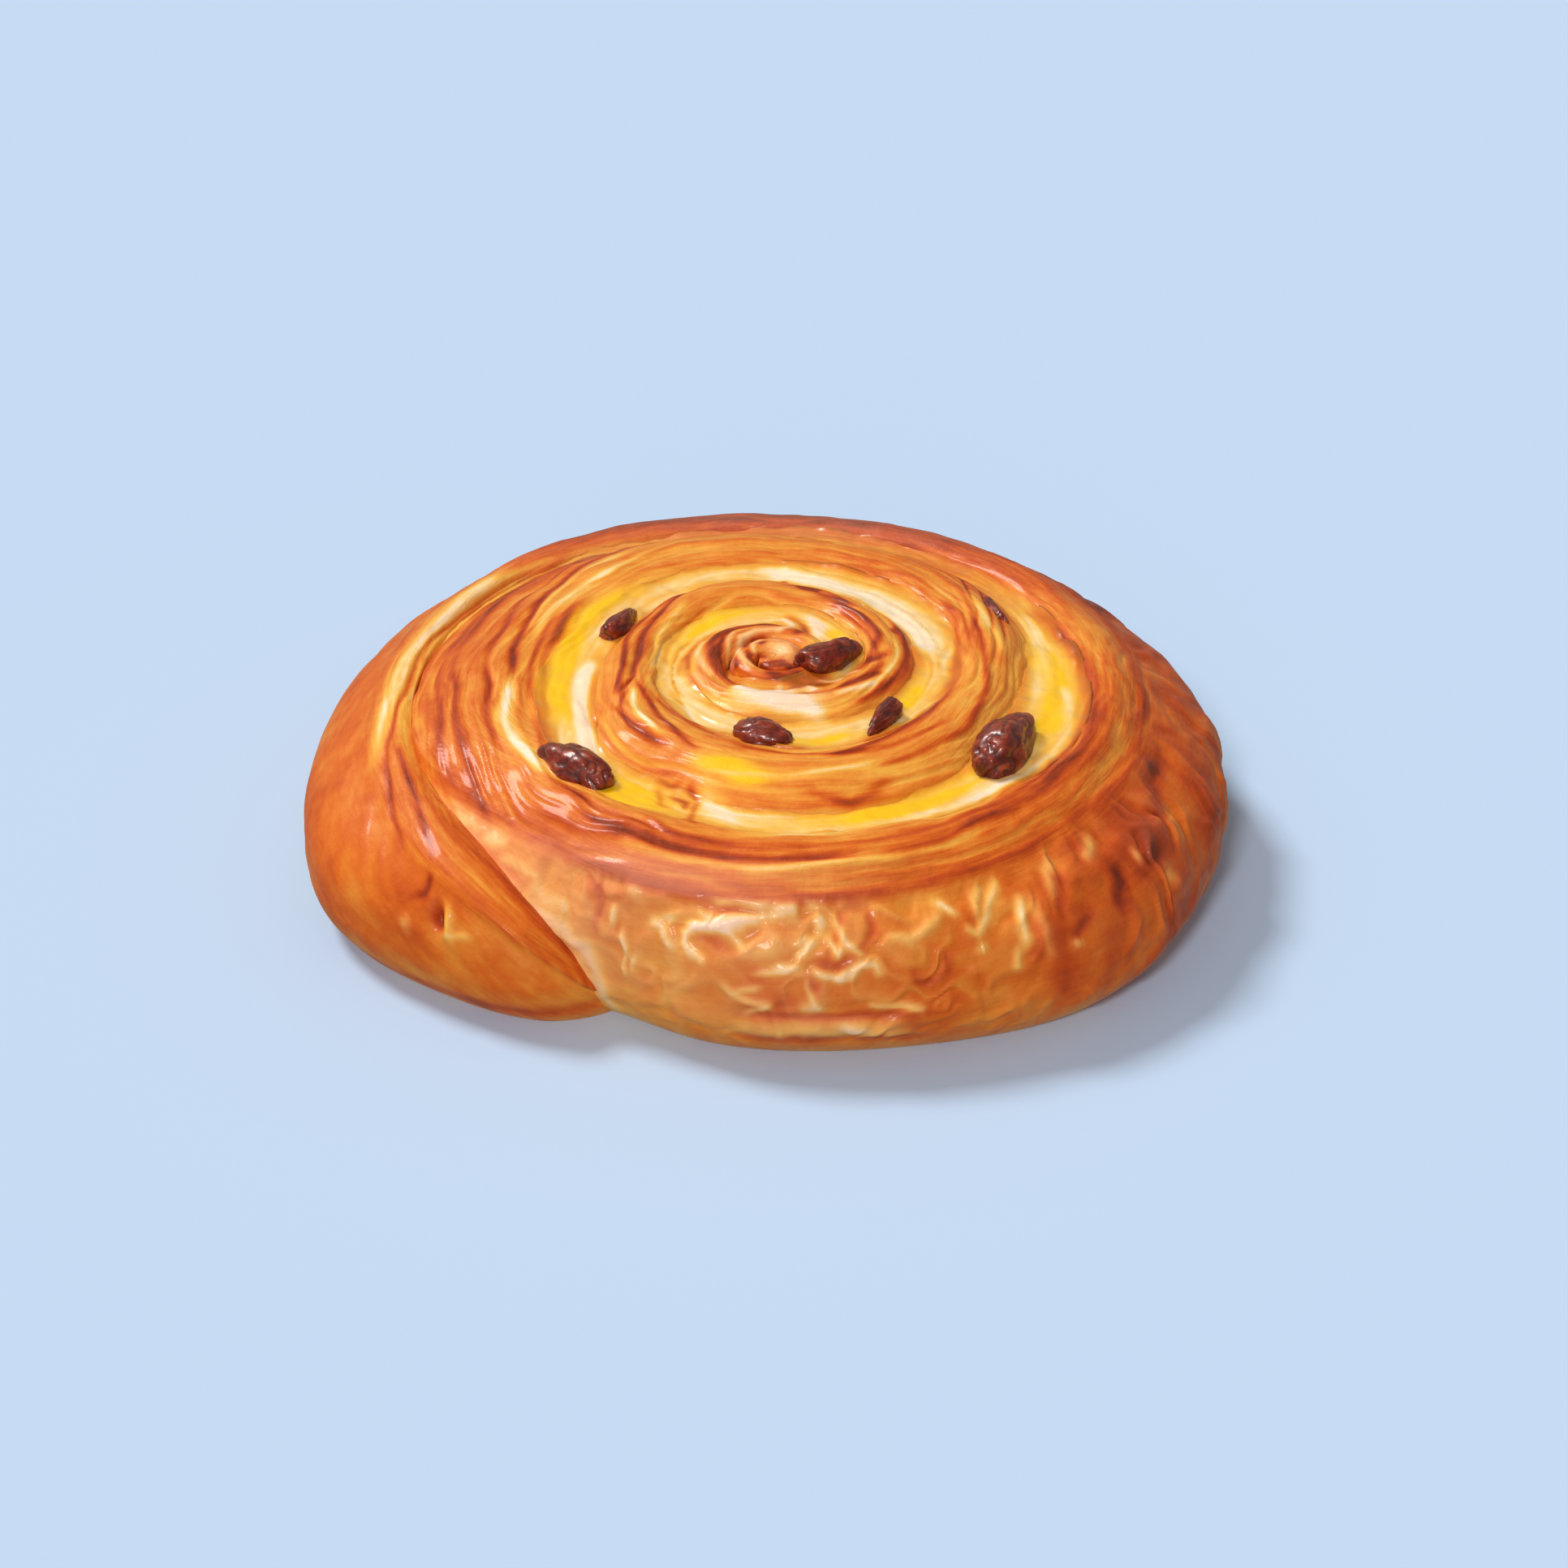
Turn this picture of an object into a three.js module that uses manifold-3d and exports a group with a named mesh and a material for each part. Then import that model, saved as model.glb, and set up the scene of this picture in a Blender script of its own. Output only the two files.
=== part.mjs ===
// A raisin bun of the snail kind: one strip of laminated dough wound into a flat spiral with
// custard between its turns, cut across so that the layers stand on edge on top, and raisins
// lying in the custard. Millimetres, +Z up, origin at the centre of the base.
//
// The strip is a section carried round the spiral. A place on the spiral is a turn number:
// turn 4.25 is four and a quarter turns, counter-clockwise from +X. Seam t lies between the
// strip's turn t and its turn t + 1, and past the strip's end it is the outer wall.

import * as THREE from "three";
import { ImprovedNoise } from "three/addons/math/ImprovedNoise.js";
import { mergeVertices } from "three/addons/utils/BufferGeometryUtils.js";
import Module from "manifold-3d";

// ---- driving dimensions ----

// Seam radius at each quarter turn from turn 0, at the height where the wall bulges most.
const QUARTER_RADII = [
  0.6, 1.2, 1.8, 2.8, 4, 4.8, 5.4, 6.8, 8.8, 11.2, 12.2, 16.6, 20.6, 24.2, 25, 33,
  35.4, 40.5, 44.8, 50.5, 57.5, 55, 58, 44.8,
];
// Where the hand-rolled spiral strays from those radii: turn, spread in turns, millimetres.
const STRAYS = [
  [3.42, 0.06, -1.4],
  [3.62, 0.05, 1.6],
  [4.68, 0.035, -2.2],
  [4.875, 0.05, 2.4],
  [5.575, 0.055, 4.6],
];
const CENTRE_HEIGHT = 27.8; // of the custard's surface; the crests stand above it
const RIM_DROP = 5.8; // how much lower the top is at the rim than at the centre
const RIM_RADIUS = 44;
const TILT = 1.5; // the back rim is this much higher than the middle, the front as much lower
const STRIP_START = 0.5; // turn numbers of the strip's two ends
const STRIP_END = 5.684;
const CORE_DEPTH = 1.8; // the coil's turns are one piece below this depth
const GAP = 0.3; // between touching pieces

const CUSTARD_START = 1.03;
const CUSTARD_END = 4.5;
const CUSTARD_HALF = 0.9; // half the thickness of the custard inside the bun
const CUSTARD_FLOOR = 0.8; // the custard ends this far above the base
// Pools of custard that widen the groove on top: turn, spread in turns, millimetres each side.
const POOLS = [
  [2.28, 0.2, 0.5],
  [2.8, 0.07, 1.1],
  [3.1, 0.12, 0.5],
  [3.53, 0.06, 1.3],
  [3.66, 0.05, 1.1],
  [3.95, 0.08, 2.2],
];

// How far a crest's rounding reaches in from its groove: turn, millimetres.
const GROOVE_LIP = [
  [2, 1.4],
  [2.8, 1.6],
  [3.1, 2.2],
  [3.4, 1.9],
  [4.02, 1.7],
  [4.15, 0.8],
  [4.4, 0.5],
];
const GROOVE_START = 0.76; // the rounding starts at this share of the custard's height
const CROWN = 1.5; // crest above the custard's surface
const LAYER_STEP = 0.42; // relief of the layers on edge

const WALL_BLEND = [4.52, 4.66]; // turns over which a groove's side becomes the outer wall
const BULGE_HEIGHT = 9; // the outer wall is widest here
const BASE_TUCK = 4.2; // the wall draws in this much at the base
const TUCK_HEIGHT = 7;
// Radius of the edge between the cut top and the browned wall, by turn.
const CUT_EDGE = [
  [4.5, 42],
  [4.59, 38.8],
  [4.63, 41.4],
  [4.69, 43.8],
  [4.9, 45.3],
  [5.25, 46.5],
  [5.38, 48.5],
  [5.5, 48],
  [5.6, 50],
];
const BLISTER = 0.75; // relief of the blistered wall
const BLISTER_SIZE = 5.5;

// The strip's tail: its top slopes down to the end, which is pressed against the wall.
const TAIL_TOP = [
  [5.4, 1],
  [5.56, 0.93],
  [5.6, 0.76],
  [5.655, 0.56],
  [5.684, 0.22],
];
const TAIL_HUG = [5.5, 5.56]; // turns over which its inner side comes to follow the wall
const TAIL_GAP = 0.35;

// Raisins: place on the top in millimetres, length, width and height, the angle of the length,
// and how much of the height lies below the custard's surface.
const RAISINS = [
  { x: 7.7, y: -0.8, size: [8.2, 4.8, 4.6], turn: 18, sunk: 0.42 },
  { x: -1, y: -17.7, size: [7.2, 4.8, 4.2], turn: -18, sunk: 0.42 },
  { x: 14.3, y: -13.8, size: [8, 3, 4.2], turn: 62, sunk: 0.45 },
  { x: -19, y: 10.2, size: [8.2, 3.2, 3.6], turn: 66, sunk: 0.5 },
  { x: -23.7, y: -22.1, size: [11, 6, 5.6], turn: -45, sunk: 0.42 },
  { x: 28.3, y: -17.2, size: [12.5, 6.8, 7], turn: 70, sunk: 0.4 },
  { x: 28.9, y: 15.8, size: [7.4, 2.4, 3.4], turn: 112, sunk: 0.62 },
];
const RAISIN_RINGS = 9;
const RAISIN_SPOKES = 12;
const RAISIN_WRINKLE = 0.09; // share of its size

// Sections a turn, in the coil and from its edge outwards. Strip and custard share them.
const COIL_SECTIONS = 32;
const COIL_EDGE = 2.5;
const SECTIONS = 48;

const CORE_INSET = 0.25; // keeps the core inside the strip
const BOW = 1e-3;
const LEVELS_OUT = [0.07, 0.22, 0.4, 0.58, 0.76, 0.88, 1]; // shares of the custard's height
const LEVELS_IN = [1, 0.88, 0.76, 0.4];
const CREST = [0.12, 0.31, 0.5, 0.69, 0.88]; // places across a crest

const wasm = await Module();
wasm.setup();
const grain = new ImprovedNoise();

// ---- helpers ----

const { lerp, clamp, smoothstep, degToRad } = THREE.MathUtils;

function bump(turn, [centre, spread, amount]) {
  return amount * Math.exp(-(((turn - centre) / spread) ** 2));
}

function sum(values) {
  return values.reduce((a, b) => a + b, 0);
}

// Straight lines between [turn, value] knots, level past either end.
function along(knots, turn) {
  const last = knots.length - 1;
  if (turn <= knots[0][0]) return knots[0][1];
  if (turn >= knots[last][0]) return knots[last][1];
  const i = knots.findIndex((k) => k[0] > turn) - 1;
  const share = (turn - knots[i][0]) / (knots[i + 1][0] - knots[i][0]);
  return lerp(knots[i][1], knots[i + 1][1], share);
}

function toManifold(geometry) {
  const bare = geometry.index ? geometry.toNonIndexed() : geometry.clone();
  bare.deleteAttribute("normal");
  bare.deleteAttribute("uv");
  const merged = mergeVertices(bare, 1e-4);
  return new wasm.Manifold(
    new wasm.Mesh({
      numProp: 3,
      vertProperties: new Float32Array(merged.attributes.position.array),
      triVerts: new Uint32Array(merged.index.array),
    }),
  );
}

// The largest body of a solid, so that a cut leaves no scrap.
function largest(solid) {
  const bodies = solid.decompose();
  return bodies.reduce((a, b) => (b.volume() > a.volume() ? b : a));
}

function toGeometry(solid) {
  const mesh = solid.getMesh();
  const points = new Float32Array(mesh.numVert * 3);
  for (let i = 0; i < mesh.numVert; i++) {
    const start = i * mesh.numProp;
    points.set(mesh.vertProperties.subarray(start, start + 3), i * 3);
  }
  return new THREE.BufferGeometry()
    .setAttribute("position", new THREE.BufferAttribute(points, 3))
    .setIndex(new THREE.BufferAttribute(mesh.triVerts, 1))
    .toNonIndexed();
}

// A closed solid from sections, each a ring of [radius, height] at a turn number.
function sweep(turns, sectionAt) {
  const rings = turns.map(sectionAt);
  const count = rings[0].length;
  const points = [];
  rings.forEach((ring, i) => {
    const angle = 2 * Math.PI * turns[i];
    for (const [r, z] of ring) points.push(r * Math.cos(angle), r * Math.sin(angle), z);
  });
  const faces = [];
  for (let i = 0; i + 1 < rings.length; i++) {
    for (let j = 0; j < count; j++) {
      const a = i * count + j;
      const b = i * count + ((j + 1) % count);
      faces.push(a, a + count, b, b, a + count, b + count);
    }
  }
  // The outline is bowed a little, so that points along a straight side aren't dropped.
  const cap = (ring, offset, flip) => {
    const outline = ring.map(([r, z], j) => {
      const around = (2 * Math.PI * j) / count;
      return new THREE.Vector2(r + BOW * Math.cos(around), z + BOW * Math.sin(around));
    });
    for (const [a, b, c] of THREE.ShapeUtils.triangulateShape(outline, [])) {
      faces.push(offset + a, offset + (flip ? c : b), offset + (flip ? b : c));
    }
  };
  cap(rings[0], 0, false);
  cap(rings[rings.length - 1], (rings.length - 1) * count, true);
  const geometry = new THREE.BufferGeometry()
    .setAttribute("position", new THREE.Float32BufferAttribute(points, 3))
    .setIndex(faces);
  return toManifold(geometry);
}

// Turn numbers of the sections from start to end.
function stations(start, end) {
  const turns = [];
  for (let turn = 0; turn < end - 0.005; turn += 1 / (turn < COIL_EDGE ? COIL_SECTIONS : SECTIONS)) {
    if (turn > start + 0.005) turns.push(turn);
  }
  return [start, ...turns, end];
}

// ---- the spiral ----

// Catmull-Rom curve through the quarter-turn radii, with the strays added.
function seamRadius(turn) {
  const place = clamp(turn * 4, 0, QUARTER_RADII.length - 1.001);
  const i = Math.floor(place);
  const t = place - i;
  const at = (k) => QUARTER_RADII[clamp(k, 0, QUARTER_RADII.length - 1)];
  const [p, a, b, q] = [at(i - 1), at(i), at(i + 1), at(i + 2)];
  const curve =
    a + 0.5 * t * (b - p + t * (2 * p - 5 * a + 4 * b - q + t * (3 * (a - b) + q - p)));
  return curve + sum(STRAYS.map((s) => bump(turn, s)));
}

// Height of the top where the custard fills it: a low dome, tilted towards the front.
function domeHeight(radius, turn) {
  const reach = Math.min(radius, RIM_RADIUS) / RIM_RADIUS;
  return CENTRE_HEIGHT - RIM_DROP * reach ** 2 + TILT * reach * Math.sin(2 * Math.PI * turn);
}

// Height of the custard's surface at a seam. Where there is none, a crest's side ends there.
function custardHeight(turn) {
  return domeHeight(seamRadius(turn), turn) * along(TAIL_TOP, turn);
}

function custardHalf(turn) {
  const start = smoothstep(turn, CUSTARD_START, CUSTARD_START + 0.2);
  const end = 1 - smoothstep(turn, CUSTARD_END - 0.3, CUSTARD_END);
  return CUSTARD_HALF * (0.3 + 0.7 * start * end);
}

// Room between a seam and the dough beside it.
function seamRoom(turn) {
  const before = smoothstep(turn, CUSTARD_START - 0.1, CUSTARD_START - 0.04);
  const after = 1 - smoothstep(turn, CUSTARD_END + 0.005, CUSTARD_END + 0.02);
  return lerp(GAP / 2, custardHalf(turn) + GAP, before * after);
}

// Thickness of the strip between the rooms left for its seams.
function stripWidth(turn) {
  const inner = Math.max(turn - 1, 0);
  const width = seamRadius(turn) - seamRadius(inner) - seamRoom(turn) - seamRoom(inner);
  return Math.max(width, 0.4);
}

// How far a crest's rounding reaches in from its seam, for a strip of some thickness.
function lip(turn, width) {
  return Math.min(along(GROOVE_LIP, turn) + sum(POOLS.map((p) => bump(turn, p))), 0.36 * width);
}

// 0 at a groove inside the bun, 1 at the outer wall.
function wallShare(turn) {
  return smoothstep(turn, ...WALL_BLEND);
}

// Outer side of the strip at a turn and height.
function outerSide(turn, z) {
  const top = custardHeight(turn);
  const wall = wallShare(turn);
  const thin = clamp((seamRadius(turn) - seamRadius(turn - 1)) / 14, 0.12, 1);
  const start = lerp(GROOVE_START * top, Math.min(BULGE_HEIGHT, 0.45 * top), wall);
  const inset = Math.max(seamRadius(turn) - along(CUT_EDGE, turn), 3) * thin;
  const reach = lerp(lip(turn, stripWidth(turn)), inset, wall);
  const rise = clamp((z - start) / (top - start), 0, 1);
  const tuck = wall * BASE_TUCK * clamp(1 - z / TUCK_HEIGHT, 0, 1) ** 2;
  return seamRadius(turn) - seamRoom(turn) - reach * rise ** lerp(1.8, 2.3, wall) - tuck;
}

// Inner side of the strip. The tail's follows the wall that it is pressed against.
function innerSide(turn, z) {
  const seam = turn - 1;
  if (seam < STRIP_START) return Math.max(seamRadius(Math.max(seam, 0)), 0.5);
  const top = custardHeight(seam);
  const start = GROOVE_START * top;
  const rise = clamp((z - start) / (top - start), 0, 1);
  const own = seamRadius(seam) + seamRoom(seam) + lip(seam, stripWidth(turn)) * rise ** 1.8;
  const wall = outerSide(seam, z) + TAIL_GAP + Math.abs(blister(seam, z));
  return lerp(own, wall, smoothstep(turn, ...TAIL_HUG));
}

// Blisters and wrinkles of the browned wall, in millimetres outwards.
function blister(turn, z) {
  const angle = 2 * Math.PI * turn;
  const r = seamRadius(turn) / BLISTER_SIZE;
  const wave = grain.noise(r * Math.cos(angle), r * Math.sin(angle), z / BLISTER_SIZE + 3);
  const bare = smoothstep(turn, 4.62, 4.8) * smoothstep(z, 0, 4);
  return BLISTER * wave * bare;
}

// One closed section of the dough strip.
function doughSection(turn) {
  const outerTop = custardHeight(turn);
  const innerTop = Math.min(custardHeight(turn - 1), outerTop + 3 * along(TAIL_TOP, turn));
  const last = turn > 5.4 ? along(TAIL_TOP, turn) : 1;
  const section = [
    [innerSide(turn, 0), 0],
    [outerSide(turn, 0), 0],
  ];
  for (const level of LEVELS_OUT) {
    const z = outerTop * level;
    section.push([outerSide(turn, z) + blister(turn, z), z]);
  }
  const tailTop = last < 1 ? outerTop : innerTop;
  const from = outerSide(turn, outerTop);
  const to = innerSide(turn, tailTop);
  CREST.forEach((share, k) => {
    const r = lerp(from, to, share);
    const arch = (1 - (2 * share - 1) ** 2) ** 0.6;
    const step = (k % 2 ? -1 : 1) * LAYER_STEP;
    const wave = 0.6 + grain.noise(turn * 9, k * 2.7, 0.5);
    const size = clamp((from - to) / 8, 0.15, 1);
    section.push([r, lerp(outerTop, tailTop, share) + CROWN * arch * size + step * wave * size]);
  });
  for (const level of LEVELS_IN) {
    const z = tailTop * level;
    section.push([innerSide(turn, z), z]);
  }
  return section;
}

// One closed section of the custard: a thin band that widens into the groove on top.
function custardSection(turn) {
  const top = custardHeight(turn) - 0.15;
  const half = custardHalf(turn);
  const r = seamRadius(turn);
  const side = (level, width) => {
    const rise = clamp((level - GROOVE_START) / (1 - GROOVE_START), 0, 1);
    return half + lip(turn, width) * rise ** 1.8;
  };
  const inWidth = stripWidth(turn);
  const outWidth = stripWidth(turn + 1);
  const wall = wallShare(turn);
  const inward = (level) => {
    const open = outerSide(turn, custardHeight(turn) * level) + GAP;
    return wall > 0 ? Math.max(open, r - side(level, inWidth)) : r - side(level, inWidth);
  };
  return [
    [r - half, CUSTARD_FLOOR],
    [r + half, CUSTARD_FLOOR],
    [r + side(0.76, outWidth), 0.76 * top],
    [r + side(0.88, outWidth), 0.88 * top],
    [r + side(1, outWidth), top],
    [r, top + 0.35],
    [inward(1), top],
    [inward(0.88), 0.88 * top],
    [inward(0.76), 0.76 * top],
  ];
}

// ---- the pieces ----

function makeDough() {
  const turns = stations(STRIP_START, STRIP_END);
  const strip = sweep(turns, doughSection);
  const height = CENTRE_HEIGHT - CORE_DEPTH;
  const outline = stations(CUSTARD_START, CUSTARD_START + 1).map((turn) => {
    const angle = 2 * Math.PI * turn;
    const r = outerSide(turn, height) - CORE_INSET;
    return new THREE.Vector2(r * Math.cos(angle), r * Math.sin(angle));
  });
  const core = new THREE.ExtrudeGeometry(new THREE.Shape(outline), {
    depth: height,
    bevelEnabled: false,
  });
  return strip.add(toManifold(core));
}

function makeCustard() {
  return sweep(stations(CUSTARD_START, CUSTARD_END), custardSection);
}

// A wrinkled ellipsoid, grown by a margin for the pit that it lies in.
function makeRaisin({ x, y, size, turn, sunk }, index, margin) {
  const shape = new THREE.SphereGeometry(1, RAISIN_SPOKES, RAISIN_RINGS);
  shape.rotateY(Math.PI / 2).rotateX(Math.PI / 2);
  const at = shape.attributes.position;
  const place = new THREE.Vector3();
  for (let i = 0; i < at.count; i++) {
    place.fromBufferAttribute(at, i);
    const wave = grain.noise(place.x * 1.6 + index * 7, place.y * 2.4, place.z * 2.4);
    const grown = 1 + RAISIN_WRINKLE * 2 * wave;
    at.setXYZ(
      i,
      (place.x * grown * size[0]) / 2 + place.x * margin,
      (place.y * grown * size[1]) / 2 + place.y * margin,
      (place.z * grown * size[2]) / 2 + place.z * margin,
    );
  }
  const radius = Math.hypot(x, y);
  const surface = domeHeight(radius, Math.atan2(y, x) / (2 * Math.PI));
  shape.rotateZ(degToRad(turn));
  shape.translate(x, y, surface + size[2] * (0.5 - sunk));
  return toManifold(shape);
}

const finish = {
  dough: new THREE.MeshStandardMaterial({ color: 0xd9822f, roughness: 0.45, metalness: 0 }),
  custard: new THREE.MeshStandardMaterial({ color: 0xf3c843, roughness: 0.3, metalness: 0 }),
  raisin: new THREE.MeshStandardMaterial({ color: 0x4a1a16, roughness: 0.35, metalness: 0 }),
};

const raisins = RAISINS.map((r, i) => makeRaisin(r, i, 0));
const pits = wasm.Manifold.union(RAISINS.map((r, i) => makeRaisin(r, i, GAP)));
const solids = [
  ["dough", largest(makeDough().subtract(pits)), finish.dough],
  ["custard", largest(makeCustard().subtract(pits)), finish.custard],
  ...raisins.map((solid, i) => [`raisin_${i + 1}`, solid, finish.raisin]),
];

const bun = new THREE.Group();
for (const [name, solid, material] of solids) {
  const mesh = new THREE.Mesh(toGeometry(solid), material);
  mesh.name = name;
  bun.add(mesh);
}

// The spiral's own centre isn't the bun's, so the pieces move to centre their box on the origin.
const box = new THREE.Box3().setFromObject(bun);
const centre = box.getCenter(new THREE.Vector3());
for (const mesh of bun.children) mesh.position.set(-centre.x, -centre.y, 0);

export default bun;
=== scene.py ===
import itertools
import math

import bpy
import numpy as np
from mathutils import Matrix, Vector


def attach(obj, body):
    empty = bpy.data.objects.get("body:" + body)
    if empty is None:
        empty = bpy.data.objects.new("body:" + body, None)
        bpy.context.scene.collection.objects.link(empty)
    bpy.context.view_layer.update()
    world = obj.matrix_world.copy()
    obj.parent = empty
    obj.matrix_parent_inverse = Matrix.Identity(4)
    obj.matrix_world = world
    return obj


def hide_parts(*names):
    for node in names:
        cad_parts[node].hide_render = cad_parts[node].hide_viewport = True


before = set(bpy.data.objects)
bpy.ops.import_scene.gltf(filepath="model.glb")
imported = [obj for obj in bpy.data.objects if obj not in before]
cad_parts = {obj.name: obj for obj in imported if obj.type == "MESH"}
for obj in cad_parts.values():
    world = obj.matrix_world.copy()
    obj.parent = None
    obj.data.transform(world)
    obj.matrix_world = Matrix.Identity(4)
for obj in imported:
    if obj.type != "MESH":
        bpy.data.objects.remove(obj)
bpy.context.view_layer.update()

# A raisin bun of the snail kind: one strip of laminated dough wound into a spiral, custard
# between its turns, raisins lying in the custard. Sizes are in millimetres until a mesh is made.
# A place on the spiral is a turn number, counter-clockwise from +X. Seam t lies between the
# strip's turn t and its turn t + 1, and past the strip's end it is the outer wall.

MM = 0.001
HEART = np.array([0.6215, -2.2223])  # plan place of the spiral's heart

# ---- the form, with the solids' sizes but for small corrections ----

# The seam's radius at each quarter turn, and its strays from their curve: turn, spread, height.
QUARTER_RADII = np.array([
    0.6, 1.2, 1.8, 2.8, 4, 4.8, 5.4, 6.8, 8.8, 11.2, 12.2, 16.6, 20.6, 24.2, 25, 33,
    35.4, 40.5, 44.8, 50.5, 57.5, 55, 58, 44.8,
])
STRAYS = [
    (3.42, 0.06, -1.4), (3.62, 0.05, 1.6), (4.68, 0.035, -2.2), (4.875, 0.05, 2.4),
    (5.575, 0.055, 4.6), (5.645, 0.035, 2.6),
]
CENTRE_HEIGHT = 27.8
RIM_DROP = 5.3
RIM_RADIUS = 44
TILT = 1.5  # how far the back rim lies above the dome, and the front rim below it
STRIP_END = 5.676
TAIL_TIP = 0.024  # turns over which the tip rounds in to the wall
CUSTARD_START = 1.5
CUSTARD_END = 4.5
CUSTARD_HALF = 0.9
CUSTARD_FLOOR = 0.8
# Turns over which the custard thickens and thins out, over which the dough makes room for it,
# and over which its surface comes up and sinks away.
CUSTARD_THICK = ((CUSTARD_START, 1.7), (4.2, CUSTARD_END))
CUSTARD_ROOM = ((1.4, 1.46), (4.45, CUSTARD_END))
CUSTARD_SHOWN = ((CUSTARD_START, 1.7), (4.43, 4.49))
CUSTARD_OVERLAP = 0.4  # how far its edges reach in under the crests
CUSTARD_SAG = 0.35
# Pools of custard, where the crests are rounded further: turn, spread and reach.
POOLS = [
    (2.28, 0.2, 0.5), (2.8, 0.07, 1.1), (3.1, 0.12, 0.5), (3.53, 0.06, 1.3),
    (3.66, 0.05, 1.1), (3.95, 0.08, 2.2),
]
# Reach of the crests' rounding from the seam, by turn.
GROOVE_LIP = [
    (1, 0.3), (1.5, 0.5), (1.9, 1.3), (2.8, 1.6), (3.1, 2.2), (3.4, 1.9), (4.02, 1.7), (4.15, 0.8),
    (4.35, 0.4), (4.5, 0.22),
]
CROWN = 1.5  # rise of a crest's arch between its edges
WALL_BLEND = (4.52, 4.66)  # turns over which a crest's side becomes the wall
LEAN_POWERS = (1.8, 2.3)  # in a groove and on the wall
BULGE_HEIGHT = 9
BASE_TUCK = 4.2
TUCK_HEIGHT = 7
# Radius of the cut top's edge, by turn.
CUT_EDGE = [
    (4.5, 42), (4.59, 38.8), (4.63, 41.4), (4.69, 43.8), (4.9, 45.3), (5.25, 46.5),
    (5.38, 48.5), (5.5, 48), (5.6, 50),
]
TAIL_START = 5.4  # turn from which the strip slopes down
TAIL_HUG = (5.45, 5.56)  # turns over which the tail comes to lie against the wall
TAIL_OVERLAP = 0.5  # how far it lies into the wall, so that no slit shows
FOOT_GAP = 0.06  # how far its inner foot stands clear of the wall's
DIMPLE = (5.62, 12.8)  # turn and height of the dimple in the tail
# Raisins: plan place from the spiral's heart, length, width and height, the turn of the length
# in degrees, the share of the height below the custard's surface, and how much the end that
# the turn points to is thinner than the other.
RAISINS = [
    ((7.2, -0.3), (9.2, 4.8, 4.4), 40, 0.4, 0.22),
    ((-1, -17.7), (7.2, 4.8, 4.2), -18, 0.42, 0.1),
    ((13.5, -13.8), (8, 2.6, 3.7), 62, 0.45, -0.45),
    ((-19, 10.2), (8.2, 3.2, 3.6), 66, 0.5, 0.4),
    ((-23.7, -22.1), (11, 6, 5.6), -45, 0.42, 0),
    ((28.2, -17.2), (12.2, 6.4, 6.8), 70, 0.4, 0.1),
    ((28.2, 15.2), (8.2, 2.6, 3.6), 108, 0.54, 0),
]

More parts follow.
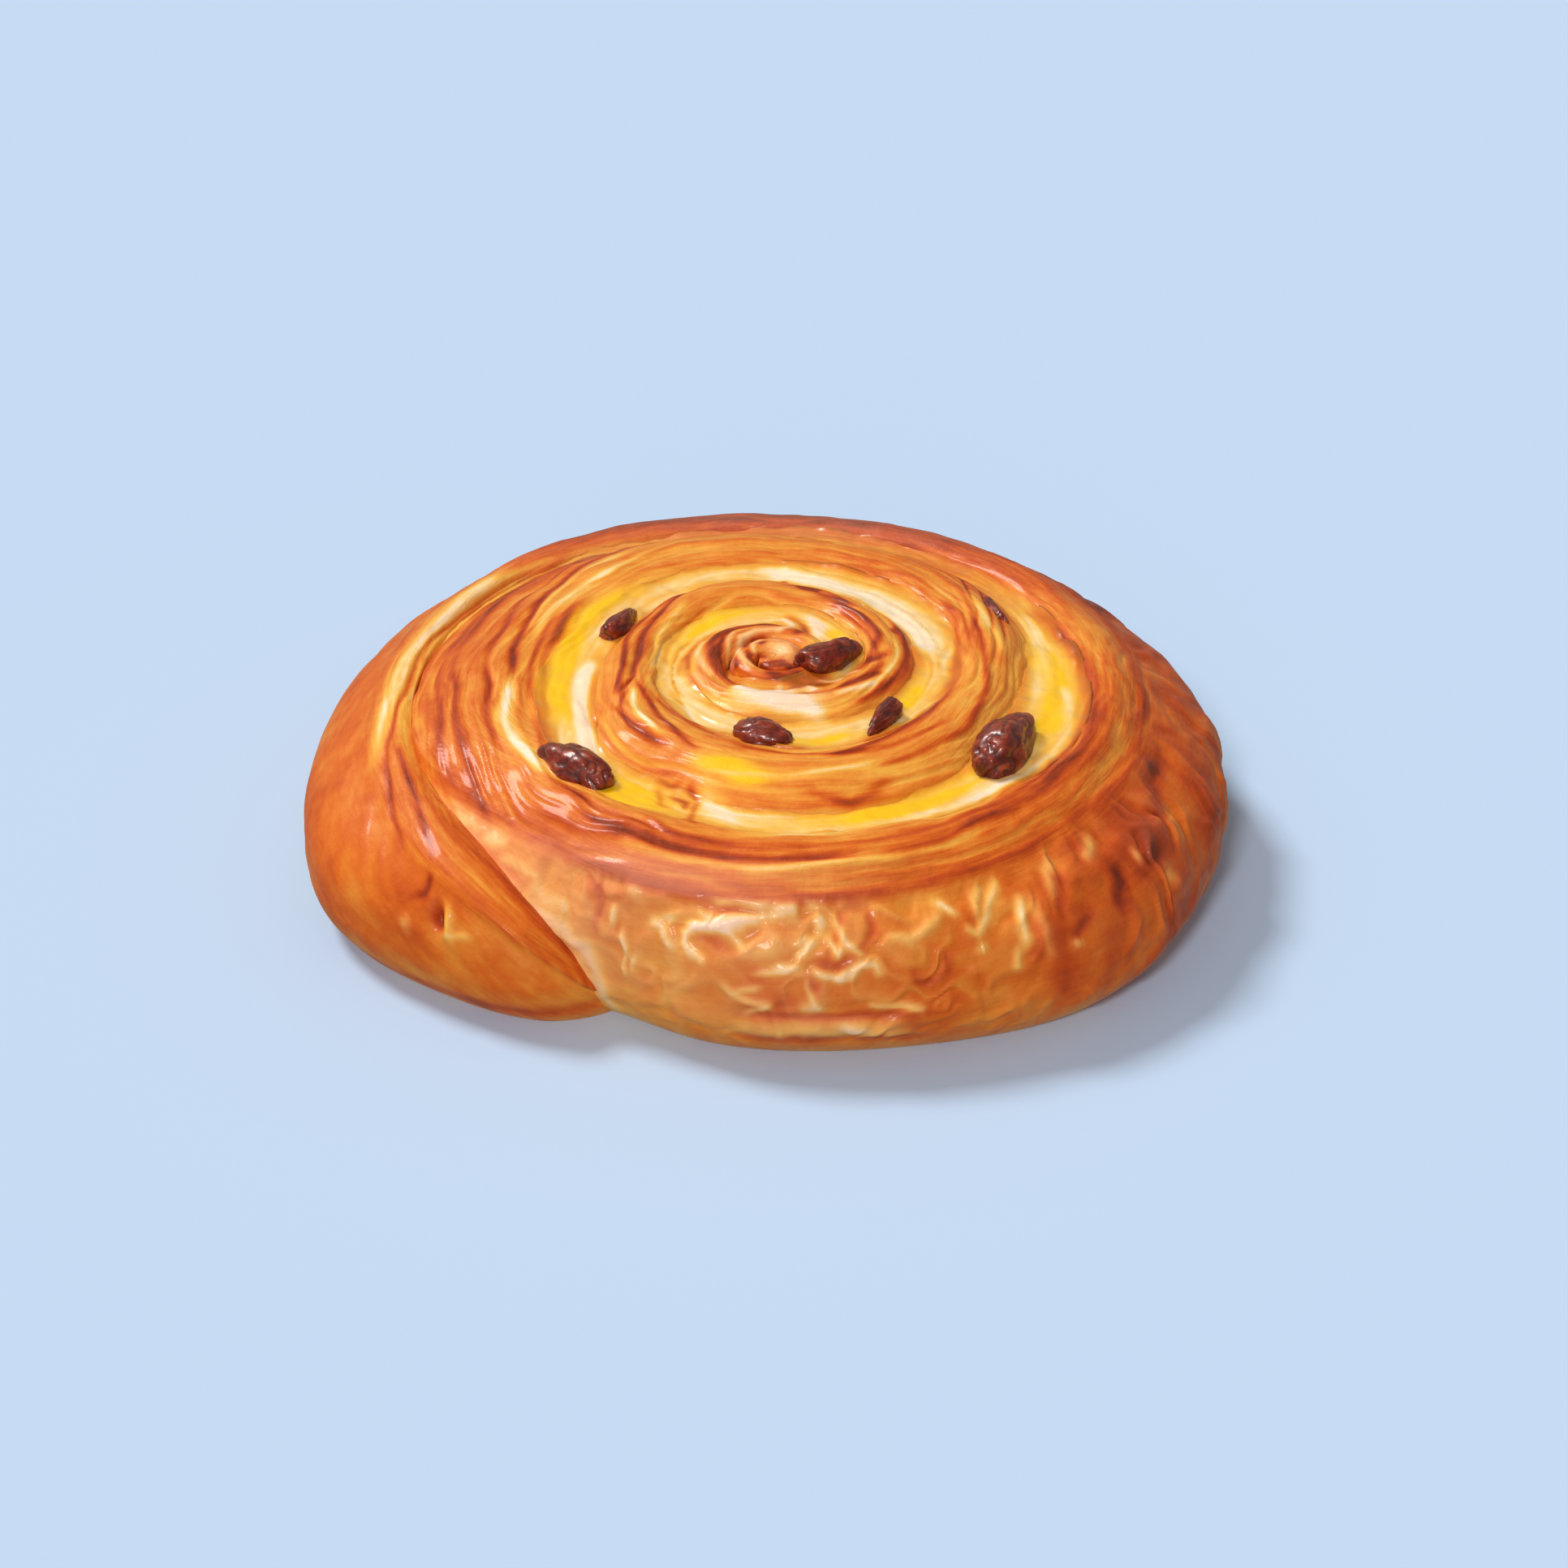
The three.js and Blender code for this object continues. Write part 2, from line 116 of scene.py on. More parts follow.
# Lines along the swirl, each with its knots of degrees round the heart and radius, its width,
# its browning (below 0 paler than the dough round it) and its rise (below 0 a groove). Pale lines
# on the crests are partly painted highlight.
SWIRL_LINES = [
    # the first round
    ([(300, 7.6), (325, 9.2), (345, 11), (365, 12.5), (380, 14.3), (405, 15), (418, 15)], 0.6, 0.36, 0.2),
    ([(292, 9.6), (315, 11.2), (335, 12.9), (352, 13.8)], 0.45, 0.34, -0.1),
    ([(315, 14.2), (330, 15.2), (345, 16), (362, 16.6), (388, 17.6)], 0.55, 0.42, 0.1),
    ([(325, 13.6), (345, 14.7), (360, 15.2), (376, 16)], 0.4, -0.25, 0.1),
    ([(28, 6), (45, 8), (54, 10.4)], 1.5, -0.3, 0.1),
    ([(105, 9.4), (140, 9), (170, 9.2), (200, 10)], 0.5, -0.3, 0.1),
    ([(130, 10.4), (165, 10.4), (195, 11.6)], 0.4, 0.34, -0.15),
    ([(150, 11.6), (180, 12), (215, 13.4)], 0.4, 0.32, -0.1),
    ([(238, 8.6), (262, 9.8), (284, 11.4), (297, 13.6)], 1.9, -0.42, 0.3),
    ([(10, 12.8), (34, 13.6), (52, 14.2)], 0.35, 0.25, -0.1),
    ([(52, 16), (68, 17), (84, 18.6)], 0.8, 0.45, 0),
    # the second round
    ([(12, 19.8), (40, 20.5), (60, 21.5), (80, 23), (92, 25.5)], 1.5, -0.42, 0.2),
    ([(130, 17), (150, 15.3), (170, 14.5), (195, 15), (206, 17)], 0.5, -0.2, 0.1),
    ([(125, 15), (150, 13.6), (180, 13.2)], 0.4, 0.2, -0.1),
    ([(120, 20), (140, 17.9), (160, 16.9), (182, 16.9), (196, 17.8), (203, 20)], 0.5, 0.5, -0.3),
    ([(126, 20.2), (150, 19), (170, 18.3), (188, 18.8), (202, 20.4)], 0.45, 0.4, 0.1),
    ([(203, 17.6), (214, 18.2), (230, 20.2), (246, 22.6)], 0.5, 0.45, 0.1),
    ([(204, 19.4), (211, 21.6), (222, 23), (236, 23.6)], 0.45, 0.42, -0.3),
    ([(206, 18.8), (218, 20.7), (232, 22.5)], 0.4, -0.5, 0.2),
    ([(208, 14.2), (222, 14.8)], 0.6, 0.25, 0),
    ([(212, 16.6), (235, 18), (252, 19.4)], 0.5, 0.2, -0.1),
    ([(176, 22.8), (195, 24.5), (210, 26.7), (224, 29.3), (231, 30.8)], 0.85, -0.75, 0.2),
    ([(205, 24.3), (225, 26.4), (245, 27)], 0.4, 0.2, -0.1),
    ([(288, 23.6), (310, 22.6), (335, 22.4), (358, 22.6), (380, 24.4), (396, 27)], 0.6, 0.36, 0.1),
    ([(258, 20.8), (280, 22.2), (300, 24.4), (330, 25.2)], 0.5, 0.22, -0.1),
    ([(255, 26), (275, 26.6), (300, 26.4)], 0.4, -0.2, 0.1),
    ([(300, 27), (330, 27.4), (360, 26.2), (376, 26.2), (390, 28.6), (400, 31)], 0.5, 0.32, 0.1),
    ([(279, 28.8), (288, 30.6), (298, 29.4)], 0.7, 0.35, 0),
    ([(5, 26.3), (20, 27.4), (34, 30.4), (46, 35)], 0.28, 0.3, -0.15),
    ([(3, 27.6), (16, 28.6), (30, 31.4), (42, 35.4)], 0.25, 0.34, -0.15),
    ([(12, 29.6), (26, 31.6), (38, 34.8)], 0.25, 0.34, -0.15),
    ([(10, 25.2), (24, 26.2), (38, 29)], 0.25, 0.2, -0.1),
    # the third round
    ([(368, 28.8), (385, 29.2), (398, 31)], 1, -0.3, 0.1),
    ([(355, 33), (375, 35), (390, 36.4)], 1.2, -0.22, 0),
    ([(148, 29.4), (166, 28.4), (182, 28.4), (198, 29)], 0.7, 0.36, 0.1),
    ([(152, 30.6), (172, 29.9), (190, 30.3)], 0.4, 0.25, 0),
    ([(120, 33), (140, 31.6), (160, 31.4)], 0.7, -0.3, 0.1),
    ([(116, 39), (135, 36.4), (155, 33.6), (180, 32.3)], 0.55, 0.38, -0.2),
    ([(122, 36.2), (140, 34.2), (160, 32.6)], 0.4, -0.2, 0.1),
    ([(185, 32.6), (198, 34.2), (210, 35.4), (219, 36)], 0.8, -0.46, 0.1),
    ([(118, 41.6), (140, 38.2), (160, 35.8), (185, 35.4), (206, 37)], 0.5, 0.25, -0.2),
    ([(128, 43.6), (155, 40.4), (185, 39.4), (205, 41), (222, 44.4)], 0.6, 0.2, 0.1),
    ([(140, 42.6), (165, 41.4), (190, 41.8), (208, 43.6)], 0.5, 0.18, -0.1),
    ([(236, 38.9), (250, 40), (262, 40.7), (282, 41.4)], 0.6, 0.4, -0.2),
    ([(244, 40.9), (256, 42), (270, 42.4)], 0.5, -0.2, 0.1),
    ([(226, 36.6), (245, 37.9), (262, 38.5)], 0.5, 0.26, -0.1),
    ([(253, 28.4), (259, 31), (263, 33.4)], 2, -0.36, 0.1),
    ([(300, 35.6), (330, 38), (345, 37.6), (359, 36.4)], 0.7, -0.38, 0.1),
    ([(262, 36.4), (285, 36.8), (305, 37.2)], 0.5, -0.22, 0),
    ([(262, 39.2), (290, 39.6), (318, 39.6), (342, 39)], 0.4, 0.22, -0.1),
    ([(268, 42.2), (290, 42.5), (306, 42)], 0.5, -0.22, 0.2),
    ([(290, 41.6), (320, 41.2), (345, 40.4), (362, 39.6), (374, 38.6), (388, 38.2)], 1.1, 0.34, 0.1),
    # the tail: a thin crease darkened as painted shade, and the pale ridge outside it as painted highlight
    ([(134, 43.6), (158, 44.4), (180, 46), (190, 47.6), (200, 49.7), (216, 53.8)], 0.4, 0.3, -0.5),
    ([(140, 45.6), (160, 45.9), (180, 47.7), (190, 49.4), (198, 51.6)], 1.1, -0.36, 0.3),
]
# Browning runs from 0, white dough, to 1, scorched. First the swirl's own, and what is added at
# the rim, in the coil, beside the custard and along the tail's inner edge.
SWIRL_BAKE, RIM_BAKE, COIL_BAKE, SOAKED_BAKE, TAIL_EDGE_BAKE = 0.51, 0.12, 0.12, -0.24, 0.15
POOL_BAKE = 0.3
# Sides that are baked more: radii between which each sets in, its direction in degrees and the
# spread of that, and browning. They are the far side, the left, the right and behind the coil.
BAKED_SIDES = [
    ((37, 41), 92, 40, 0.49), ((34, 38), 185, 45, 0.09), ((39, 42), 342, 46, 0.14),
    ((26, 30), 45, 25, 0.1),
]
# Streaks along the strip: length, width, how far the bends carry them, place in the noise, seed,
# and their parts in the browning and the rise. They are broad bands, layers and fine lines.
STREAKS = [
    (26, 2.3, 0.9, 4.5, 13, 0.06, 0.1), (22, 0.95, 1.5, 8.5, 14, 0.12, 0.18),
    (9, 0.42, 2.2, 12.5, 15, 0.09, 0.09),
]
# The wall's browning, and what is added at the right as painted shade, at the back and the tail.
WALL_BAKE, WALL_RIGHT_SHADE, WALL_BACK_BAKE, TAIL_BAKE = 0.515, 0.21, 0.24, 0.09
UNDER_BAKE = 0.62
# Small round marks: degrees, radius, size and browning.
SWIRL_SPOTS = [
    (87, 22, 0.8, 0.6), (75, 18.4, 1.4, 0.3), (24, 17.2, 1.2, 0.3), (292, 7.6, 1, 0.35),
]
# Pools of plain yellow custard: degrees, radius, their spreads in degrees and millimetres.
YELLOW_POOLS = [
    (350, 35.2, 15, 2), (8, 35, 9, 1.6), (236, 31.3, 8, 2.2), (190, 27.2, 14, 1.7),
    (170, 25.6, 13, 1.3), (256, 24.8, 7, 1.1), (264, 26.6, 5, 1), (286, 18.8, 14, 0.9), (336, 18.6, 12, 1),
    (130, 12.6, 26, 1.2), (42, 10.4, 9, 0.9), (146, 26.8, 14, 1.3), (241, 33, 6, 1.3),
    (300, 33.4, 24, 1.4),
]
# Strokes on the coil: points in millimetres from the heart, width, browning and rise. Pale
# strokes are partly painted highlight, as the broad one in front of the coil.
COIL_STROKES = [
    ([(0.7, 7.9), (-2.2, 8.2), (-5.1, 7.4), (-6.7, 5.3), (-7.4, 2.8), (-7.5, 0.2), (-7, -2.7),
      (-5.8, -4.9), (-4, -6.6)], 0.85, 0.45, 0.2),
    ([(0.9, 7.4), (-2, 7.3), (-4.6, 6.4), (-5.9, 4.6), (-6.4, 2.4), (-6.5, 0), (-6, -2.4)],
     0.28, 0.42, -0.15),
    ([(1, 6.4), (-1.9, 5.9), (-3.8, 4.5), (-4.4, 1.8), (-3.9, -0.6), (-2.8, -2.4)], 0.4, -0.36, 0.15),
    ([(-4.7, 5.4), (-5.4, 3.6), (-5.4, 1), (-5, -1.2)], 0.3, -0.25, 0.1),
    ([(-5.1, -0.2), (-4.6, -1.8)], 0.4, 0.49, -0.1),
    ([(-0.9, 4.9), (-2.2, 4.5), (-3.2, 3.4), (-3.4, 2.2)], 0.42, 0.56, -0.15),
    ([(-3, 0.8), (-2.9, -0.4), (-1.9, -1.7), (-0.2, -1.9), (1.6, -1.8), (3.3, -2.5)], 0.42, 0.56, -0.15),
    ([(-1.6, 2.6), (-0.7, 2.9)], 0.34, 0.42, 0),
    ([(-1.6, 0.7), (-0.9, -0.2)], 0.34, 0.42, 0),
    ([(-1.4, 3.9), (-2.4, 2.4), (-2.2, 0.9)], 0.35, -0.3, 0.1),
    ([(0.4, 2.2), (1.4, 1.2), (2, -0.4)], 1.3, -0.34, 0),
    ([(0.2, 4.3), (1.8, 3.8), (2.8, 2.4)], 0.7, -0.3, 0),
    ([(2, 11), (3.9, 9.2), (4.2, 7.4), (3.3, 5.4)], 0.6, 0.5, -0.1),
    ([(1.6, 10.4), (2.5, 8.7), (2, 6.9), (1, 6)], 0.38, -0.38, 0.15),
    ([(4.9, 11), (5.7, 8.6), (5.2, 6.4)], 0.7, -0.3, 0.1),
    ([(-0.6, -4), (1.8, -5), (4, -5.9), (6.6, -5.4)], 0.65, 0.5, 0.1),
    ([(1.8, -3.3), (4.2, -4.4), (7, -4.2)], 0.8, 0.31, 0),
    ([(5.8, -5), (8, -4.8), (10.5, -3.7)], 0.32, -0.34, 0.1),
    ([(11, -1.2), (12.9, -0.8), (14.2, 0.6)], 0.7, 0.39, -0.1),
    ([(8.6, -7.4), (11, -6), (13.4, -4.4)], 0.5, 0.42, -0.1),
    ([(7.8, -9.4), (10.4, -8.2), (12.4, -6.8)], 0.4, -0.3, 0.1),
    ([(-4.2, -7.7), (-1, -8.1), (1.5, -7.9), (3.6, -7.1)], 0.6, -0.4, 0.25),
    ([(0.9, -7.6), (1, -6.2)], 0.35, -0.4, 0.3),
    ([(4.4, -6.4), (5.4, -7.4)], 0.5, -0.45, 0.35),
    ([(-8.6, 5), (-9.2, 1.6), (-8.9, -1.6), (-7.6, -4.6)], 0.4, -0.25, 0.1),
    ([(-10.6, 2), (-10.4, -1.6)], 0.4, 0.28, -0.1),
    ([(-9.6, -3.4), (-8.4, -6.6), (-6.6, -9)], 0.35, -0.3, 0.1),
    ([(-3, -9.8), (1.5, -10.6), (5.4, -9.9)], 1.5, -0.36, 0.1),
    # the crease on the tail, darkened as painted shade
    ([(-45.9, -12), (-44.3, -18.4), (-42.1, -26), (-40.4, -31.8)], 0.45, 0.32, -0.25),
    # the scorched mark at the front
    ([(-12, -27.3), (-11.1, -28.1), (-10.2, -28.7), (-10.4, -29.8)], 0.55, 0.6, -0.2),
    ([(-10, -26.2), (-9.3, -27.6), (-8.8, -28.6), (-9.5, -30.9), (-9.7, -32.7), (-9.1, -34)],
     0.5, 0.42, -0.1),
    ([(-13.9, -26), (-13.3, -27.8), (-13.4, -29.1), (-12.3, -29.8)], 0.6, 0.42, -0.1),
    ([(-14, -24.4), (-12.4, -25.2), (-11.1, -25.3)], 0.5, 0.3, 0),
]
# Strokes on the wall: points of turn and height, width, browning and rise. The pale strokes,
# browning below 0, are painted highlight on ridges, and the brown ones in grooves are partly
# painted shade.
WALL_STROKES = [
    # stacked folds under the cut edge
    ([(4.722, 20.1), (4.734, 19.9), (4.746, 19.7), (4.759, 19.6)], 0.35, -0.4, 0.35),
    ([(4.721, 18.6), (4.727, 18.05), (4.737, 18.4), (4.746, 18.8), (4.759, 19.2)], 0.4, -0.4, 0.4),
    ([(4.716, 17.2), (4.725, 17.5), (4.736, 17.9), (4.744, 18.1)], 0.35, -0.4, 0.35),
    ([(4.763, 20.2), (4.766, 19.9), (4.769, 20.1)], 0.3, -0.4, 0.3),
    ([(4.72, 19.3), (4.735, 19.2), (4.75, 19.3)], 0.3, 0.2, -0.25),
    # the loop and the strokes left of it
    ([(4.737, 17.3), (4.727, 17.2), (4.719, 17), (4.7146, 16.1), (4.715, 15.1), (4.72, 13.9),
      (4.723, 13.4)], 0.4, -0.45, 0.45),
    ([(4.727, 17.2), (4.732, 16.8), (4.738, 15.6)], 0.35, -0.35, 0.35),
    ([(4.737, 15.3), (4.744, 15), (4.75, 15.6), (4.752, 16.6)], 0.6, -0.2, 0.3),
    ([(4.722, 16.4), (4.727, 16.1), (4.73, 15.2)], 0.5, 0.2, -0.25),
    ([(4.702, 17), (4.7056, 15.8), (4.709, 14.8), (4.711, 14.4)], 0.42, -0.42, 0.4),
    ([(4.706, 17.2), (4.711, 17.9)], 0.4, -0.3, 0.3),
    ([(4.688, 19.4), (4.693, 19.1)], 0.6, -0.3, 0.2),
    ([(4.682, 16.8), (4.682, 14.8)], 0.35, -0.42, 0.35),
    ([(4.688, 14.4), (4.689, 12)], 0.35, -0.42, 0.4),
    ([(4.6895, 11.5), (4.6897, 9)], 0.3, -0.3, 0.3),
    ([(4.6945, 12), (4.694, 9.9)], 0.4, -0.25, 0.3),
    # the middle
    ([(4.7506, 13.6), (4.7596, 13.5)], 0.4, -0.45, 0.4),
    ([(4.744, 12.9), (4.755, 13.1)], 0.3, -0.35, 0.3),
    ([(4.7656, 13.4), (4.7692, 12.9), (4.774, 12.5), (4.7782, 13.2), (4.7824, 13.9), (4.787, 13.7),
      (4.789, 12.9)], 0.4, -0.5, 0.5),
    ([(4.772, 12), (4.777, 12.3), (4.781, 12.9)], 0.3, -0.3, 0.25),
    ([(4.766, 14.2), (4.774, 13.9), (4.779, 14.6)], 0.5, 0.22, -0.3),
    ([(4.7584, 14.6), (4.763, 15.8), (4.766, 16.6)], 0.34, -0.42, 0.4),
    ([(4.76, 16.2), (4.7635, 17)], 0.3, -0.35, 0.3),
    ([(4.7686, 18.9), (4.7686, 17.5)], 0.42, -0.42, 0.4),
    ([(4.7734, 18.1), (4.777, 17.2), (4.78, 15.9), (4.784, 15.1)], 0.35, -0.42, 0.4),
    ([(4.7705, 16.4), (4.775, 15.1), (4.7765, 15.9)], 0.35, -0.42, 0.35),
    ([(4.775, 17.2), (4.777, 18.9), (4.782, 19.7), (4.787, 19), (4.789, 17.3), (4.785, 16.1)],
     0.45, 0.2, -0.35),
    ([(4.7956, 16.7), (4.8016, 15.9), (4.809, 16.8), (4.815, 17.9)], 0.5, -0.3, 0.4),
    ([(4.816, 18.9), (4.8196, 18.3), (4.823, 18.1)], 0.42, -0.5, 0.4),
    ([(4.825, 16.4), (4.828, 15.8), (4.833, 17), (4.8375, 18.5), (4.8445, 19.7)], 0.38, -0.42, 0.4),
    ([(4.828, 14.3), (4.8295, 14.4)], 0.45, -0.45, 0.35),
    ([(4.8028, 12.8), (4.804, 11.4), (4.809, 11.1), (4.8145, 12.6), (4.816, 14.4)], 0.45, 0.2, -0.35),
    ([(4.7308, 10.9), (4.738, 9.7), (4.746, 8.9), (4.748, 8.7)], 0.42, -0.35, 0.4),
    ([(4.748, 8.7), (4.743, 8), (4.7405, 7.4)], 0.35, -0.3, 0.3),
    ([(4.737, 10.6), (4.744, 11)], 0.35, -0.35, 0.3),
    ([(4.763, 12), (4.764, 9.9), (4.7655, 9)], 0.35, -0.35, 0.35),
    ([(4.761, 8.9), (4.768, 8.5)], 0.45, -0.35, 0.3),
    ([(4.786, 8.8), (4.7956, 8.5), (4.805, 8)], 0.35, -0.42, 0.35),
    ([(4.7645, 12.6), (4.7655, 10.8)], 0.6, 0.2, -0.2),
    ([(4.753, 9.6), (4.754, 8.6)], 0.9, 0.15, -0.15),
    # the pale fold at the foot
    ([(4.741, 5.2), (4.76, 5.6), (4.78, 5.5), (4.797, 5)], 1, -0.3, 0.45),
    ([(4.7746, 6.3), (4.7785, 5.7), (4.784, 5)], 0.6, -0.3, 0.1),
    ([(4.738, 7.2), (4.753, 7.4), (4.77, 7.3), (4.785, 7.4), (4.802, 7)], 0.42, 0.24, -0.35),
    ([(4.735, 3.4), (4.76, 3.6), (4.79, 3.6), (4.805, 3)], 0.6, 0.2, -0.2),
    # upright folds on the right
    ([(4.8302, 17.5), (4.8314, 18.7), (4.8356, 19.4)], 0.4, -0.35, 0.4),
    ([(4.849, 17.9), (4.8458, 16.8), (4.8446, 15.1), (4.844, 13.8)], 0.48, -0.52, 0.5),
    ([(4.841, 13.7), (4.8398, 11.9), (4.839, 11.2)], 0.45, -0.36, 0.4),
    ([(4.853, 17.5), (4.852, 14.5), (4.8525, 12)], 0.6, -0.25, 0.4),
    ([(4.8704, 19.9), (4.8644, 19), (4.8608, 17.5)], 0.5, -0.3, 0.4),
    ([(4.867, 18.7), (4.8632, 16.8), (4.8614, 16.1)], 0.5, 0.2, -0.3),
    ([(4.871, 14.9), (4.8668, 14.2), (4.8626, 13.4)], 0.5, 0.28, -0.25),
    ([(4.861, 12.6), (4.864, 12.4)], 0.5, -0.36, 0.3),
    ([(4.8932, 17.2), (4.8908, 16.1), (4.8872, 15.4), (4.8866, 13.9)], 0.8, 0.4, -0.25),
    ([(4.8836, 18.9), (4.8872, 19.2), (4.892, 19.7)], 0.4, -0.36, 0.35),
    ([(4.9034, 16.6), (4.9054, 17.7)], 0.4, -0.4, 0.3),
    ([(4.9, 15.7), (4.91, 16), (4.916, 16.6)], 0.8, 0.25, -0.15),
    ([(4.916, 14.6), (4.916, 13.2)], 0.8, -0.28, 0.3),
    ([(4.93, 18.2), (4.94, 18.9), (4.95, 19.9), (4.958, 20.9)], 0.6, 0.28, -0.25),
    ([(4.952, 19.9), (4.968, 20.4)], 0.6, 0.32, -0.15),
    ([(4.9616, 13.8), (4.962, 12.8)], 0.9, 0.22, 0),
    ([(4.857, 8.4), (4.8585, 6)], 1.5, 0.2, 0),
    # the pale fold beside the tail, and the wrinkles above it
    ([(4.588, 18.9), (4.5917, 18.6), (4.6, 17.8), (4.608, 17.2)], 0.5, -0.32, 0.35),
    ([(4.608, 17.2), (4.6253, 15.9), (4.6346, 14.9), (4.644, 13.8), (4.6533, 13.2), (4.6617, 12.3),
      (4.6692, 10.6), (4.6738, 8.6), (4.6766, 6), (4.681, 2)], 0.95, -0.42, 0.5),
    ([(4.643, 16.2), (4.6495, 15.7), (4.655, 15.3)], 0.5, -0.32, 0.3),
    ([(4.657, 15.7), (4.661, 14.6)], 0.6, -0.28, 0.3),
    ([(4.612, 19.2), (4.618, 19), (4.6225, 19.1)], 0.4, -0.28, 0.3),
    ([(4.625, 18), (4.6346, 17.8), (4.644, 17)], 0.4, -0.26, 0.3),
    ([(4.583, 20.5), (4.5927, 19.5), (4.604, 18.9)], 0.4, -0.24, 0.3),
    ([(4.6, 18.6), (4.617, 17.6), (4.63, 16.7), (4.64, 15.9)], 0.4, 0.2, -0.3),
    ([(4.669, 19.1), (4.6748, 18), (4.6766, 16.7), (4.6748, 14.8), (4.6757, 13.2)], 0.45, 0.22, -0.3),
    # the tail
    ([(5.56, 1), (5.62, 1.6), (5.676, 2.4)], 0.8, 0.3, -0.2),
    ([(5.6075, 17.9), (5.6115, 16.9), (5.612, 15.8), (5.6115, 14.9), (5.608, 14.3)], 0.45, 0.3, -0.25),
    ([(5.6075, 11.7), (5.609, 10.3)], 0.55, -0.22, 0.25),
    ([(5.6235, 11.2), (5.633, 11.8)], 0.45, -0.22, 0.2),
]
TURN_LENGTH = 289  # once round the wall
TAIL_TURN_LENGTH = 340  # once round at the tail

# ---- helpers ----


def smooth(value, low, high):
    """0 below low, 1 above high, 3t^2 - 2t^3 between."""
    t = np.clip((value - low) / (high - low), 0, 1)
    return t * t * (3 - 2 * t)


def blend(a, b, share):
    """Straight line from a to b."""
    return a + (b - a) * share


def between(value, start, end):
    """Rises from 0 to 1 over `start` and falls back to 0 over `end`."""
    return smooth(value, *start) * (1 - smooth(value, *end))


def bell(value, centre, spread):
    """A bell curve of height 1."""
    return np.exp(-(((value - centre) / spread) ** 2))


def toward(degrees, centre, spread):
    """The same bell over an angle, the short way round."""
    return bell((degrees - centre + 180) % 360 - 180, 0, spread)


def along(knots, turn):
    """Straight lines between knots of turn and value, level past either end."""
    places, values = zip(*knots)
    return np.interp(turn, places, values)


def bumps(rows, turn):
    """Sum of bell curves, each with its centre, spread and height."""
    return sum(height * bell(turn, centre, spread) for centre, spread, height in rows)


def noise(x, y, z, seed):
    """Gradient noise: a random slope stands at each whole-number corner, and the eight slopes
    round a point are blended by 6t^5 - 15t^4 + 10t^3. About -1 to 1."""
    rng = np.random.default_rng(seed)
    order = rng.permutation(256)
    slopes = rng.normal(size=(256, 3))
    slopes /= np.linalg.norm(slopes, axis=1, keepdims=True)
    place = np.broadcast_arrays(x, y, z)
    cell = [np.floor(a).astype(int) for a in place]
    part = [a - c for a, c in zip(place, cell)]
    fade = [p**3 * (p * (p * 6 - 15) + 10) for p in part]
    total = 0
    for corner in itertools.product((0, 1), repeat=3):
        pick = 0
        for c, k in zip(cell, corner):
            pick = order[(pick + c + k) & 255]
        dot = sum(slopes[pick, i] * (part[i] - k) for i, k in enumerate(corner))
        weight = np.prod([f if k else 1 - f for f, k in zip(fade, corner)], axis=0)
        total = total + dot * weight
    return total * 1.7


def cloud(x, y, z, seed, octaves=3):
    """Sum of noises, each of half the size and half the height of the one before."""
    return sum(noise(x * 2**k, y * 2**k, z * 2**k, seed + k) / 2**k for k in range(octaves))


# ---- the spiral ----


def seam_radius(turn):
    """Catmull-Rom curve through the quarter-turn radii, plus the strays."""
    place = np.clip(np.asarray(turn) * 4, 0, len(QUARTER_RADII) - 1.001)
    i = np.floor(place).astype(int)
    t = place - i
    last = len(QUARTER_RADII) - 1
    p, a, b, q = (QUARTER_RADII[np.clip(i + k, 0, last)] for k in (-1, 0, 1, 2))
    curve = a + 0.5 * t * (b - p + t * (2 * p - 5 * a + 4 * b - q + t * (3 * (a - b) + q - p)))
    return curve + bumps(STRAYS, turn)


def dome(radius, turn):
    """A low dome: the centre's height less the rim's drop times the radius squared, tilted."""
    reach = np.minimum(radius, RIM_RADIUS) / RIM_RADIUS
    return CENTRE_HEIGHT - RIM_DROP * reach**2 + TILT * reach * np.sin(2 * np.pi * turn)


def groove_height(turn):
    """Height at which a crest's side ends and the custard's surface lies: the dome's, and on the
    tail less a slow fall by the cube and a quick one, by the 14th power, at its tip."""
    share = np.clip((turn - TAIL_START) / (STRIP_END - TAIL_START), 0, 1)
    return dome(seam_radius(turn), turn) * (1 - 0.38 * share**3 - 0.42 * share**14)


def custard_half(turn):
    """Half the thickness of the custard inside the bun, tapering to both ends."""
    return CUSTARD_HALF * blend(0.08, 1, between(turn, *CUSTARD_THICK))


def seam_room(turn):
    """Room from a seam to the dough beside it: none where dough meets dough."""
    return custard_half(turn) * between(turn, *CUSTARD_ROOM)


def strip_width(turn):
    """Thickness of the strip between its two seams' rooms."""
    inner = np.maximum(turn - 1, 0)
    width = seam_radius(turn) - seam_radius(inner) - seam_room(turn) - seam_room(inner)
    return np.maximum(width, 0.4)


def lip(turn, width):
    """Reach of a crest's rounding from its seam, wider at the pools of custard."""
    return np.minimum(along(GROOVE_LIP, turn) + bumps(POOLS, turn), 0.36 * width)


def lip_depth(reach):
    """Depth of a crest's rounding below its edge."""
    return 1.2 + 1.9 * reach


def wall_share(turn):
    """0 at a groove inside the bun, 1 at the outer wall."""
    return smooth(turn, *WALL_BLEND)


def toward_end(turn):
    """0 up to the tail's tip, rising to 1 at the strip's end."""
    return np.clip((turn - STRIP_END + TAIL_TIP) / TAIL_TIP, 0, 1)


